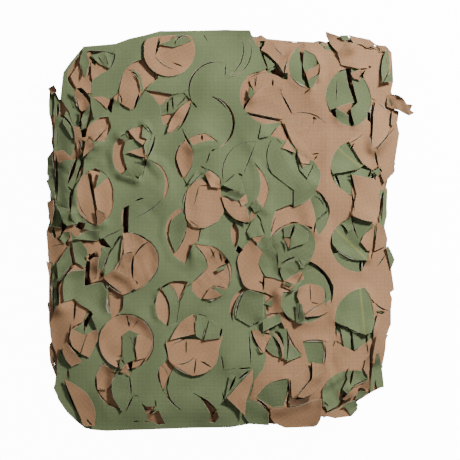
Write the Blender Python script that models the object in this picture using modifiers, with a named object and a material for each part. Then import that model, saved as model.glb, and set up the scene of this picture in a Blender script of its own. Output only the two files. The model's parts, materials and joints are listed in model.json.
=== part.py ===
"""Folded camouflage net: one leaf-cut cloth, green on one face and brown on the other, folded into a pack.

The pack lies on its broad face: +Z is up through the layers, +Y runs along them to the far folds, and +X
runs along the folds. The cloth follows one back-and-forth path of layers, from the underside up. Its green
face is up in the top layer, and its brown face in the layer below. Metres. The origin is at the middle of
the pack's underside.
"""

from math import cos, exp, pi, sin, sqrt

import bmesh
import bpy
from mathutils import Matrix, Vector

# The pack as a whole.
HALF_WIDTH = 0.171  # across X at the widest layer
HALF_LENGTH = 0.199  # across Y, out to the folds of the longest layer
HEIGHT = 0.110  # through all layers, at the middle
CORNER_RADIUS = 0.042  # the pack's corners, seen from above

# The layers.
LAYERS = 19
CLOTH_THICK = 0.0027  # the cloth with its leaves pressed flat
PITCH = (HEIGHT - CLOTH_THICK) / (LAYERS - 1)  # from one layer to the next
LOWEST = CLOTH_THICK / 2  # the middle of the layer that lies on the floor, which stays flat
TOP, BELOW_TOP = LAYERS - 1, LAYERS - 2
FOLD_STEPS = 4  # flats round a fold
CORNER_REACH = PITCH / 2 + 0.004  # how far past a layer's end its round corners run, just over its fold
# Places along a layer, from one fold (-1) to the other (1), closer together at the round corners.
ALONG_LAYER = (-1, -0.96, -0.87, -0.66, -0.35, 0, 0.35, 0.66, 0.87, 0.96, 1)
ACROSS_STEPS = 6  # strips across X

# How the pack rounds off towards its top, its underside and its edges.
SHOULDER_INSET = 0.017  # the top layer's edge, in from the widest layer's
HEEL_INSET = 0.010  # the bottom layer's
SIDE_SINK = 0.13  # share of the height lost at the left and right edges
END_SINK = 0.05  # share of the height lost at the folds
MOST_SINK = 1.2  # how far either sink goes on growing past the widest layer's edge
SOFTNESS = 0.012  # share of the height in low humps, as hand-folded cloth has
HUMP_ACROSS, HUMP_ALONG = 19, 16  # how close together the humps are, in radians a metre

# How uneven the layers are. An edge goes slowly in and out, with "turns" in radians a metre.
SLOW_WAVE = {"reach": 0.0025, "turns": 23, "by_layer": 1.9}
QUICK_WAVE = {"reach": 0.0015, "turns": 57, "by_layer": -2.6}
LENGTH_DRIFT = 0.0018  # how much shorter than the longest one half of a layer is on average

# The top layer stops part of the way across and leaves the layer below it bare.
TOP_EDGE = 0.040  # X where it stops
TONGUE_REACH = 0.048  # how much further it reaches where a tongue of it lies on the layer below
TONGUE_Y, TONGUE_HALF = 0.040, 0.045

# Edges of single layers that stand out of the pack: which layer (0 is the lowest), side (-1 left, 1 right),
# the place along Y, how far they stand out, and half their length along Y.
STANDING_OUT = (
    {"layer": 12, "side": 1, "y": 0.115, "reach": 0.024, "half": 0.030},
    {"layer": 8, "side": 1, "y": -0.035, "reach": 0.008, "half": 0.055},
    {"layer": 13, "side": -1, "y": 0.120, "reach": 0.005, "half": 0.050},
    {"layer": 6, "side": -1, "y": -0.020, "reach": 0.006, "half": 0.060},
    {"layer": 10, "side": -1, "y": -0.115, "reach": 0.004, "half": 0.050},
)

# The largest gaps between the leaves of the two layers that show from above, each an oval: its layer, its
# middle, its width, its length along Y, and how far it is turned anticlockwise.
GAPS = (
    {"layer": TOP, "x": -0.091, "y": 0.141, "width": 0.022, "length": 0.040, "turn": 0.3},
    {"layer": TOP, "x": -0.1215, "y": 0.0345, "width": 0.036, "length": 0.057, "turn": 0.0},
    {"layer": TOP, "x": -0.017, "y": 0.030, "width": 0.038, "length": 0.056, "turn": 0.0},
    {"layer": TOP, "x": -0.090, "y": -0.034, "width": 0.038, "length": 0.060, "turn": 0.5},
    {"layer": TOP, "x": -0.011, "y": -0.0345, "width": 0.038, "length": 0.059, "turn": 0.0},
    {"layer": TOP, "x": -0.051, "y": -0.078, "width": 0.020, "length": 0.040, "turn": -0.3},
    {"layer": TOP, "x": -0.098, "y": -0.111, "width": 0.038, "length": 0.060, "turn": 0.2},
    {"layer": TOP, "x": -0.027, "y": -0.124, "width": 0.038, "length": 0.058, "turn": -0.4},
    {"layer": BELOW_TOP, "x": 0.118, "y": 0.128, "width": 0.038, "length": 0.056, "turn": 0.2},
    {"layer": BELOW_TOP, "x": 0.122, "y": -0.014, "width": 0.036, "length": 0.056, "turn": 0.0},
    {"layer": BELOW_TOP, "x": 0.119, "y": -0.084, "width": 0.038, "length": 0.058, "turn": -0.2},
    {"layer": BELOW_TOP, "x": 0.106, "y": -0.146, "width": 0.034, "length": 0.044, "turn": 0.3},
)
GAP_SIDES = 12  # flats round a gap
ON_THE_CUT = 1e-6  # a corner this near to a cut lies on it

GREEN = (0.162, 0.203, 0.096)
CLOTH_ROUGHNESS = 0.82


def clear_scene():
    for obj in list(bpy.data.objects):
        bpy.data.objects.remove(obj)


def edge_inset(height_share):
    """How far a layer stops short of the widest one: most at the top and the underside."""
    from_middle = 2 * height_share - 1
    most = SHOULDER_INSET if from_middle > 0 else HEEL_INSET
    return most * abs(from_middle) ** 3


def corner_cut(y, half_length):
    """How much narrower the pack is at y, where its corners are round."""
    past = abs(y) - (half_length + CORNER_REACH - CORNER_RADIUS)
    if past <= 0:
        return 0.0
    past = min(past, CORNER_RADIUS)
    return CORNER_RADIUS - sqrt(CORNER_RADIUS**2 - past**2)


def unevenness(layer, y, phase):
    """The in-and-out along a layer's edge, different on each layer."""
    waves = (SLOW_WAVE, QUICK_WAVE)
    return sum(w["reach"] * sin(w["turns"] * y + w["by_layer"] * layer + phase) for w in waves)


def side_x(layer, side, y):
    """X of a layer's left (-1) or right (1) edge at y."""
    half = HALF_WIDTH - edge_inset((layer + 0.5) / LAYERS) - corner_cut(y, layer_half_length(layer))
    half += unevenness(layer, y, 1 + side)
    for row in STANDING_OUT:
        if (row["layer"], row["side"]) == (layer, side):
            half += row["reach"] * exp(-(((y - row["y"]) / row["half"]) ** 2))
    if layer == TOP and side > 0:
        half = TOP_EDGE + TONGUE_REACH * exp(-(((y - TONGUE_Y) / TONGUE_HALF) ** 2))
    return side * half


def layer_half_length(layer):
    """Half of a layer's length between its two folds, uneven from layer to layer."""
    drift = LENGTH_DRIFT * (1 + sin(2.3 * layer))
    return HALF_LENGTH - PITCH / 2 - edge_inset((layer + 0.5) / LAYERS) - drift


def height_scale(x, y):
    """How much lower the pack is at (x, y) than at its middle."""
    side = (abs(x) / HALF_WIDTH) ** 4
    end = (abs(y) / HALF_LENGTH) ** 6
    humps = SOFTNESS * sin(HUMP_ACROSS * x + 1.0) * cos(HUMP_ALONG * y - 0.4)
    return 1 - SIDE_SINK * min(side, MOST_SINK) - END_SINK * min(end, MOST_SINK) + humps


def station_edge(layer, share, side, y):
    """X of the edge where the path has come this share of the way round its fold to the next layer."""
    here = side_x(layer, side, y)
    if share == 0:
        return here
    return here + (side_x(layer + 1, side, y) - here) * share


def path_stations():
    """The folding path, seen along X, from the floor up: (layer, share of the next fold, y, z)."""
    stations = []
    for layer in range(LAYERS):
        way = 1 if layer % 2 == 0 else -1
        half = layer_half_length(layer)
        z = LOWEST + layer * PITCH
        stations += [(layer, 0.0, way * place * half, z) for place in ALONG_LAYER]
        if layer == TOP:
            break
        next_half = layer_half_length(layer + 1)
        for step in range(1, FOLD_STEPS):
            share = step / FOLD_STEPS
            y = way * (half + (next_half - half) * share + PITCH / 2 * sin(pi * share))
            stations.append((layer, share, y, z + PITCH / 2 * (1 - cos(pi * share))))
    return stations


def row_points(layer, share, y, z):
    """The points across X at one station of the path."""
    left, right = (station_edge(layer, share, side, y) for side in (-1, 1))
    points = []
    for step in range(ACROSS_STEPS + 1):
        x = left + (right - left) * step / ACROSS_STEPS
        points.append(Vector((x, y, LOWEST + (z - LOWEST) * height_scale(x, y))))
    return points


def gap_sides(gap):
    """An oval gap's straight sides, seen from above: a point on each, and the way out of the gap."""
    turn = Matrix.Rotation(gap["turn"], 3, "Z")
    middle = Vector((gap["x"], gap["y"], 0))
    corners = []
    for i in range(GAP_SIDES):
        angle = 2 * pi * i / GAP_SIDES
        spoke = Vector((gap["width"] / 2 * cos(angle), gap["length"] / 2 * sin(angle), 0))
        corners.append(middle + turn @ spoke)
    sides = []
    for corner, after in zip(corners, corners[1:] + corners[:1]):
        along = after - corner
        sides.append((corner, Vector((along.y, -along.x, 0)).normalized()))
    return sides


def reaches_gap(face, gap):
    """Whether a face's box, seen from above, meets the square that the gap's length makes round it."""
    for axis, middle in ((0, gap["x"]), (1, gap["y"])):
        places = [vert.co[axis] for vert in face.verts]
        if min(places) > middle + gap["length"] / 2 or max(places) < middle - gap["length"] / 2:
            return False
    return True


def cut_gap(bm, faces, gap):
    """Cuts one gap through a layer's faces, side by side, and takes out what is left inside it."""
    inside = [face for face in faces if reaches_gap(face, gap)]
    for point, outward in gap_sides(gap):
        edges = dict.fromkeys(edge for face in inside for edge in face.edges)
        verts = dict.fromkeys(vert for face in inside for vert in face.verts)
        near = [*verts, *edges, *inside]
        cut = bmesh.ops.bisect_plane(bm, geom=near, plane_co=point, plane_no=outward, dist=ON_THE_CUT)
        pieces = [item for item in cut["geom"] if isinstance(item, bmesh.types.BMFace)]
        inside = [face for face in pieces if (face.calc_center_median() - point).dot(outward) < 0]
    bmesh.ops.delete(bm, geom=inside, context="FACES")


def make_cloth(collection):
    """The cloth: an open surface lofted along its path, with its gaps cut, thickened on both sides."""
    bm = bmesh.new()
    layer_mark = bm.faces.layers.int.new("layer")  # the layer's number, or -1 round a fold
    stations = path_stations()
    rows = [[bm.verts.new(point) for point in row_points(*station)] for station in stations]
    for i, (near, far) in enumerate(zip(rows, rows[1:])):
        round_fold = stations[i][1] or stations[i + 1][1]
        for j in range(ACROSS_STEPS):
            face = bm.faces.new((near[j], near[j + 1], far[j + 1], far[j]))
            face[layer_mark] = -1 if round_fold else stations[i][0]
    for gap in GAPS:
        cut_gap(bm, [face for face in bm.faces if face[layer_mark] == gap["layer"]], gap)
    bmesh.ops.triangulate(bm, faces=[face for face in bm.faces if face[layer_mark] in (TOP, BELOW_TOP)])
    mesh = bpy.data.meshes.new("net_cloth")
    bm.to_mesh(mesh)
    bm.free()
    obj = bpy.data.objects.new("net_cloth", mesh)
    collection.objects.link(obj)
    thicken = obj.modifiers.new("thickness", "SOLIDIFY")
    thicken.thickness = CLOTH_THICK
    thicken.offset = 0
    mesh.materials.append(cloth_material())
    return obj


def cloth_material():
    """The cloth's green face. The brown face is left to the finish."""
    material = bpy.data.materials.new("net_cloth")
    material.use_nodes = True
    shader = material.node_tree.nodes["Principled BSDF"]
    shader.inputs["Base Color"].default_value = (*GREEN, 1)
    shader.inputs["Roughness"].default_value = CLOTH_ROUGHNESS
    shader.inputs["Metallic"].default_value = 0
    material.diffuse_color = (*GREEN, 1)
    return material


def stand_on_origin(cloth):
    """Moves the cloth so that the origin is at the middle of the pack's underside."""
    graph = bpy.context.evaluated_depsgraph_get()
    points = [vert.co.copy() for vert in cloth.evaluated_get(graph).data.vertices]
    low, high = ([pick(p[axis] for p in points) for axis in range(3)] for pick in (min, max))
    shift = Vector((-(low[0] + high[0]) / 2, -(low[1] + high[1]) / 2, -low[2]))
    cloth.data.transform(Matrix.Translation(shift))


def main():
    clear_scene()
    pack = bpy.data.collections.new("folded_camouflage_net")
    bpy.context.scene.collection.children.link(pack)
    stand_on_origin(make_cloth(pack))


main()
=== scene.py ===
import json
from functools import cache, partial
from math import atan, ceil, cos, hypot, pi, radians, sin, sqrt

import bpy
import numpy as np
from bpy.props import FloatProperty, FloatVectorProperty, IntProperty, PointerProperty
from bpy.types import Operator, Panel, PropertyGroup
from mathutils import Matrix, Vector
from mathutils.geometry import delaunay_2d_cdt
from mathutils.kdtree import KDTree

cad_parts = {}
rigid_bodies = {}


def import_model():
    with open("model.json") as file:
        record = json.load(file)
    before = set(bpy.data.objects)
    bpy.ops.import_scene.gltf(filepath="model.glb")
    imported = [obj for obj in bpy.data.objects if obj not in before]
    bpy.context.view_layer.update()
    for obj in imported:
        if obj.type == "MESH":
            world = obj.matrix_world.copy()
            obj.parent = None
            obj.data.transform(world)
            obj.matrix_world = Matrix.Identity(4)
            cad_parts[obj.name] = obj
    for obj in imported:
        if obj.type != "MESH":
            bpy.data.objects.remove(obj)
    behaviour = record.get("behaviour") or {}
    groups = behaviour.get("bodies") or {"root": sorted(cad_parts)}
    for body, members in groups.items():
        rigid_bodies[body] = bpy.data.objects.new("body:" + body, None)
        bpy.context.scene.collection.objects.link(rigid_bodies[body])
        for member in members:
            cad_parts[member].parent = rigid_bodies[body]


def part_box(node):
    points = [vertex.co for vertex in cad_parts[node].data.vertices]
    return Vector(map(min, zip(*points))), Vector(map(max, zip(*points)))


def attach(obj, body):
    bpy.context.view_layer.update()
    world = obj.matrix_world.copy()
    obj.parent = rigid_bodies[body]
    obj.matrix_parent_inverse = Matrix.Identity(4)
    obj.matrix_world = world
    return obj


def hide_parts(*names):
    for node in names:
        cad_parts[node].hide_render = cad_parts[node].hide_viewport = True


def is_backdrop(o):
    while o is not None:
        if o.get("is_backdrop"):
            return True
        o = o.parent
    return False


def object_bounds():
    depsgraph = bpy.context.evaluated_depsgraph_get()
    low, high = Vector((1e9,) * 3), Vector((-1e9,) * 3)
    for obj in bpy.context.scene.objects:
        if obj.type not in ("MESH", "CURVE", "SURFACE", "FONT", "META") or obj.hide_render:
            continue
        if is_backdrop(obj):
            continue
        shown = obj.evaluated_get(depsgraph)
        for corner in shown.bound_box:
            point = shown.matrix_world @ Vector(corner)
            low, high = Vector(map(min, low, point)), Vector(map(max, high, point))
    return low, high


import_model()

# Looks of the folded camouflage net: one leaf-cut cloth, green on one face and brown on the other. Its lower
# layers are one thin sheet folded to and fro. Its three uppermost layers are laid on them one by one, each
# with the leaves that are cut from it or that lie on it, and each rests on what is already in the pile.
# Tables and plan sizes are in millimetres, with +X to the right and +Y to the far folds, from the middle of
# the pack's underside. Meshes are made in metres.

bl_info = {
    "name": "Folded camouflage net",
    "version": (1, 0),
    "blender": (4, 5, 0),
    "location": "View3D > Sidebar > Camouflage net",
    "description": "Builds a folded leaf-cut camouflage net and the studio that it lies in",
    "category": "Object",
}

MM = 0.001
NODE = "net_cloth"
BODY = "root"
CAD_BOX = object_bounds()
PACK_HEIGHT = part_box(NODE)[1][2] / MM
THIRD, SECOND, TOP = "third_layer", "second_layer", "top_layer"  # counted from above
GREEN, BROWN = 0.0, 1.0  # the cloth's two faces

# ---- The pack's form ----

PACK_MIDDLE = (-9.5, -1.0)
PACK_HALF = (174.0, 198.0)
PACK_CORNER = 46.0
SHOULDER_REACH, SHOULDER_DROP = 40.0, 27.0  # how the top rounds off towards its edge
SHOULDER_FULLNESS = 0.96  # 1 would bring the shoulder down upright at the edge
PAST_THE_EDGE = 1.8  # how steeply cloth hangs past the edge
EDGE_SAG = 5.0  # how much lower the top lies near its edge than at its middle
STACK = 15.0  # how far below the top the third layer from above lies
TOP_ROOM = 3.0  # left above the flat top for leaves
HUMP_HEIGHT, HUMP_LENGTH = 1.3, 120.0

# The pack's ragged edge seen from above, clockwise from the upper left corner.
PACK_EDGE = [
    (-169, 131), (-166, 157), (-159, 167), (-146, 182), (-134, 183), (-114, 184), (-101, 189), (-83, 193),
    (-70, 197), (-42, 197), (20, 197), (25, 193), (31, 196), (37, 192), (57, 190), (89, 188), (96, 192),
    (112, 193), (122, 193), (141, 191), (148, 186), (158, 185), (163, 179), (164, 149), (161, 136),
    (165, 124), (168, 110), (170, 100), (166, 70), (163, 66), (164, 58), (155, 47), (158, 40), (157, 16),
    (155, 3), (158, -9), (157, -17), (163, -28), (162, -39), (165, -60), (161, -63), (163, -69),
    (161, -83), (161, -95), (157, -104), (156, -120), (152, -141), (151, -158), (141, -163), (132, -169),
    (127, -172), (128, -180), (122, -187), (105, -189), (93, -186), (84, -195), (56, -196), (38, -194),
    (23, -193), (1, -197), (-45, -198), (-99, -200), (-123, -201), (-135, -200), (-145, -198),
    (-153, -191), (-163, -181), (-170, -171), (-176, -155), (-175, -147), (-181, -132), (-182, -118),
    (-179, -110), (-182, -93), (-182, -49), (-182, -31), (-185, -2), (-181, 10), (-184, 28), (-178, 31),
    (-183, 46), (-182, 55), (-184, 72), (-178, 80), (-179, 105), (-182, 118), (-181, 131), (-173, 131),
]

# The top layer's edge, clockwise from its upper left corner. It leaves the layer below it bare at the right.
TOP_EDGE = [
    (-166, 157), (-159, 167), (-146, 183), (-134, 184), (-114, 186), (-101, 191), (-83, 195), (-70, 199),
    (-42, 199), (-5, 201), (20, 200), (23, 191), (29, 181), (33, 171), (38, 162), (31, 158, -0.1),
    (20, 155, -0.1), (12, 145, -0.1), (10, 133, -0.1), (13, 122), (17, 117), (24, 110), (31, 106),
    (31, 98), (50, 90), (60, 62), (84, 48), (62, 26), (46, 20, -0.1), (41, 0), (42, -20), (34, -34),
    (34, -60), (37, -90), (33, -110), (36, -128), (33, -138), (24, -150), (22, -156), (19, -168),
    (27, -172), (37, -184), (36, -195), (23, -193), (1, -197), (-45, -198), (-99, -200), (-123, -201),
    (-135, -200), (-145, -198), (-153, -191), (-163, -181), (-170, -171), (-176, -157), (-173, -148),
    (-172, -130), (-170, -120), (-162, -116), (-158, -104), (-156, -99), (-147, -93), (-142, -82),
    (-130, -87), (-121, -90), (-123, -63, -0.15), (-126, -46), (-123, -28), (-126, -15), (-132, -2),
    (-148, 2, 0.1), (-158, 12, 0.1), (-158, 30, 0.1), (-153, 44), (-146, 56), (-145, 70), (-137, 81),
    (-131, 88), (-124, 89), (-118, 102), (-121, 113), (-129, 112), (-138, 105), (-145, 100),
    (-155, 105, 0.15), (-160, 118), (-169, 131),
]


# An outline is a list of its corners. A corner's third number says how far the stretch to the next corner
# bows outwards, as a share of half its length: 0.41 is a quarter circle, and 1 is half of one. A slit is one
# row of numbers: x and y of both ends, how far it bows to the left of the way, and its width.
SLIT_WIDTH = 1.3  # of a slit that gives none


def slit(x0, y0, x1, y1, bow=0.0, width=SLIT_WIDTH):
    """The outline of a cut that gapes a little."""
    gape = width / hypot(x1 - x0, y1 - y0)
    return [(x0, y0, bow + gape), (x1, y1, gape - bow)]


def disc(x, y, radius):
    return [(x, y + radius, 1.0), (x, y - radius, 1.0)]


# Openings and cuts of the three uppermost layers.
TOP_CUTS = [
    [(-158, 166, 0.2), (-141, 180, 0.1), (-115, 177, 0.2), (-121, 161, -0.1), (-138, 150),
     (-139, 136, 0.1), (-153, 139, 0.2), (-163, 152, 0.2)],
    [(-104, 162, 0.2), (-87, 171, 0.25), (-72, 152, -0.1), (-85, 140), (-98, 120, 0.1), (-110, 126, 0.1),
     (-111, 145, 0.1)],
    (8, 198, -6, 153, 0.5, 1.1), (17, 196, -6, 152, 0.58, 1), (-33, 121, -4, 167, 0.8, 1.7),
    (-19, 134, -15, 81, 0.78, 2.4), (-4, 167, -5, 154, 0, 1), (-27, 197, -22, 189, 0, 0.9),
    (-39, 129, -33, 122, 0.1, 1.6),
    [(-85, 140, 0.05), (-58, 136), (-46, 138), (-39, 130, 0.15), (-45, 112, 0.15), (-62, 96, 0.1),
     (-69, 115), (-70, 124), (-77, 134)],
    [(-156, 143), (-150, 145), (-143, 138), (-138, 128), (-137, 118), (-140, 108), (-146, 100),
     (-151, 105), (-151, 118), (-156, 128)],
    [(-123, 122), (-119, 117), (-116, 133), (-120, 132)],
    [(-102, 100), (-87, 105), (-78, 96), (-81, 84), (-84, 66), (-92, 51), (-108, 55, 0.3),
     (-117, 78, 0.3), (-111, 92)],
    [(-135, 62, 0.38), (-117, 33, 0.38), (-135, 4, 0.38), (-153, 33, 0.38)],
    [(-101, 25), (-107, 22), (-109, 14), (-107, -4), (-102, -4)],
    (-95, 29, -86, 32, 0.1, 1.6),
    [(-43, 92, 0.4), (-47, 51, 0.5)],
    [(-42, 91, 0.1), (-25, 97, 0.1), (-12, 88, -0.1), (-20, 90), (-28, 88, -0.05), (-37, 85), (-40, 90)],
    [(-84, 71, 0.1), (-70, 65, 0.15), (-62, 50, 0.15), (-62, 40, 0.1), (-67, 29), (-66, 38, -0.1),
     (-65, 48, -0.15), (-68, 59, -0.1), (-77, 68, -0.05)],
    (5, 84, 27, 89, 0.1, 0.6),
    [(25, 67, 0.15), (39, 42, 0.12), (33, 22), (27, 31, -0.12), (31, 46, -0.12)],
    [(-48, 22, 0.1), (-58, 17, 0.1), (-65, 0, 0.1), (-56, -26), (-45, -34), (-37, -14), (-31, -10),
     (-29, 2), (-43, 8)],
    [(3, 9, 0.1), (9, 0), (9, -8, 0.1), (5, -18, 0.1), (1, -2)],
    [(-70, -58, 0.1), (-56, -51, 0.1), (-42, -52), (-46, -60), (-50, -71), (-51, -80), (-53, -93),
     (-62, -97), (-72, -88, 0.1), (-74, -70)],
    [(-37, -13), (-33, -14), (-18, -16, 0.15), (-4, -27, 0.15), (2, -39, 0.2), (-4, -60, 0.15),
     (-28, -70, 0.1), (-38, -60), (-38, -53), (-22, -37), (-26, -25, -0.05)],
    [(-122, -58), (-114, -55), (-107, -61), (-108, -80), (-118, -91), (-121, -75)],
    [(-134, -160, 0.1), (-134, -146, 0.1), (-127, -133), (-114, -142), (-119, -154, -0.1),
     (-116, -172, -0.1), (-108, -182), (-122, -176, 0.1), (-132, -165)],
    [(-84, -184), (-77, -184), (-72, -181), (-65, -195), (-72, -196), (-82, -191)],
    [(-89, -174), (-84, -177), (-75, -177), (-78, -183), (-84, -184)],
    [(-71, -138), (-62, -129), (-54, -135), (-61, -147), (-67, -162), (-73, -147)],
    (-47, -181, -63, -154, 0.35, 1.8),
    [(-30, -168, 0.1), (-22, -171, 0.1), (-13, -181), (-19, -187), (-22, -180), (-26, -173)],
    [(-19, -187), (-13, -182), (-11, -188), (-15, -194), (-21, -193)],
    (3, -92, 20, -56, 0.4, 4.6), (-163, -139, -162, -152, 0.1, 1.4), (-141, -20, -139, -34, 0, 3),
    (-92, -5, -84, -10, 0.2, 1.4), (-52, 130, -50, 121, 0, 1.2),
]
SECOND_CUTS = [
    [(-141, 180), (-130, 179), (-136, 164)],
    [(-154, 140), (-144, 136), (-140, 118), (-146, 102), (-150, 110)],
    [(-124, 121), (-119, 118), (-117, 132), (-120, 131)],
    [(30, 190), (36, 191), (34, 186), (31, 182)],
    [(30, 180), (38, 177), (47, 168), (58, 159), (58, 151), (50, 152), (38, 156), (33, 168)],
    (42, 190, 58, 173, -0.2, 1.1), (50, 140, 63, 116, 0, 1.8), (14, 117, 50, 109, 0, 1.6),
    (13, 120, 20, 131, 0.05, 2.4), (18, 152, 24, 139, -0.05, 1.2), (43, 152, 43, 144, 0, 2),
    (83, 113, 87, 111, 0, 2.6), (134, 184, 150, 181, 0.15, 1.2), (130, 152, 136, 161, 0, 2),
    (139, 165, 142, 163, 0, 2.6), (143, 129, 141, 104, 0.05, 2.4),
    [(97, 199), (92, 191), (89, 188), (95, 182), (107, 179), (101, 186), (98, 192)],
    [(69, 185), (85, 176), (90, 166, 0.15), (89, 155, 0.1), (81, 141), (62, 152, 0.1), (59, 169, 0.1)],
    (74, 137, 81, 142, 0, 1.2), (64, 117, 97, 106, 0.3, 1.1),
    [(130, 162), (118, 162, 0.05), (108, 158, 0.1), (99, 147, 0.1), (96, 135, 0.15), (102, 118, 0.15),
     (112, 107, 0.1), (125, 104, 0.15), (137, 113, 0.1), (142, 129, 0.15), (135, 151, 0.1)],
    (147, 80, 152, 62, 0, 2),
    [(81, 31), (85, 42), (98, 28, 0.2), (99, 12, 0.15), (89, -5), (86, 2), (83, 10)],
    [(120, 89, 0.05), (110, 84, 0.1), (102, 70, 0.15), (103, 52, 0.15), (112, 41), (122, 34), (124, 54),
     (144, 52), (151, 63), (143, 61), (133, 67)],
    [(122, 13, 0.1), (144, 6), (140, -4), (139, -28), (132, -42, 0.1), (122, -41, 0.2), (104, -26, 0.2),
     (102, -5, 0.2)],
    [(105, -91, 0.1), (108, -77, 0.15), (119, -64, 0.15), (135, -58, 0.1), (141, -67), (144, -81),
     (146, -105), (138, -112), (125, -122), (107, -113)],
    [(80, -32, 0.15), (96, -43, 0.1), (104, -57, 0.1), (100, -78, 0.2), (78, -93), (60, -89, 0.1),
     (51, -72), (56, -50)],
    [(73, -112), (93, -112), (95, -120), (93, -134), (79, -134)],
    (82, -133, 81, -150, 0, 2),
    [(26, -168), (34, -158, 0.15), (48, -151, 0.1), (59, -149), (58, -162), (54, -177), (42, -178)],
    (60, -150, 62, -168, 0.05, 2.2),
    [(38, -96), (52, -92), (60, -112), (55, -130), (44, -118)],
    [(94, -160), (104, -149), (120, -141), (133, -142), (138, -150), (124, -158), (118, -170),
     (108, -180), (96, -182)],
    (156, -25, 147, -37, 0.1, 1.4),
    [(-102, 24), (-107, 20), (-108, 4), (-102, -2)],
    [(-142, -24), (-132, -26), (-130, -48), (-140, -50)],
    [(-146, -76), (-135, -76), (-134, -100), (-146, -104)],
    [(-152, 92), (-142, 88), (-144, 66), (-152, 60)],
]
THIRD_CUTS = [
    [(-138, 172), (-135, 171), (-134, 165), (-139, 167)],
    [(-153, 138), (-145, 134), (-142, 118), (-147, 104), (-150, 112)],
    [(-124, 121), (-119, 118), (-117, 132), (-120, 131)],
    [(115, 162), (124, 164), (124, 148), (129, 129), (124, 127), (118, 148)],
    [(119, 121), (122, 122), (126, 104), (122, 103)],
    [(100, 121), (107, 121), (107, 112), (103, 112)],
    [(69, 185), (76, 184), (72, 162), (69, 172)],
    [(31, 178), (34, 177), (40, 161), (36, 160)],
    [(40, 160), (48, 163), (55, 157), (53, 153), (44, 156)],
    [(96, 196), (92, 190), (96, 183), (100, 184)],
    (116, 52, 113, 36, 0, 4), (96, 30, 92, 0, 0.2, 3), (46, -152, 50, -176, 0, 4),
    (120, -142, 112, -176, 0.1, 6), (76, 178, 76, 150, 0, 6), (-98, 96, -92, 60, 0.2, 5),
    (-136, -26, -134, -48, 0, 5), (-140, -78, -138, -102, 0, 5), (-105, 22, -105, 0, 0, 5),
]

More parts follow.
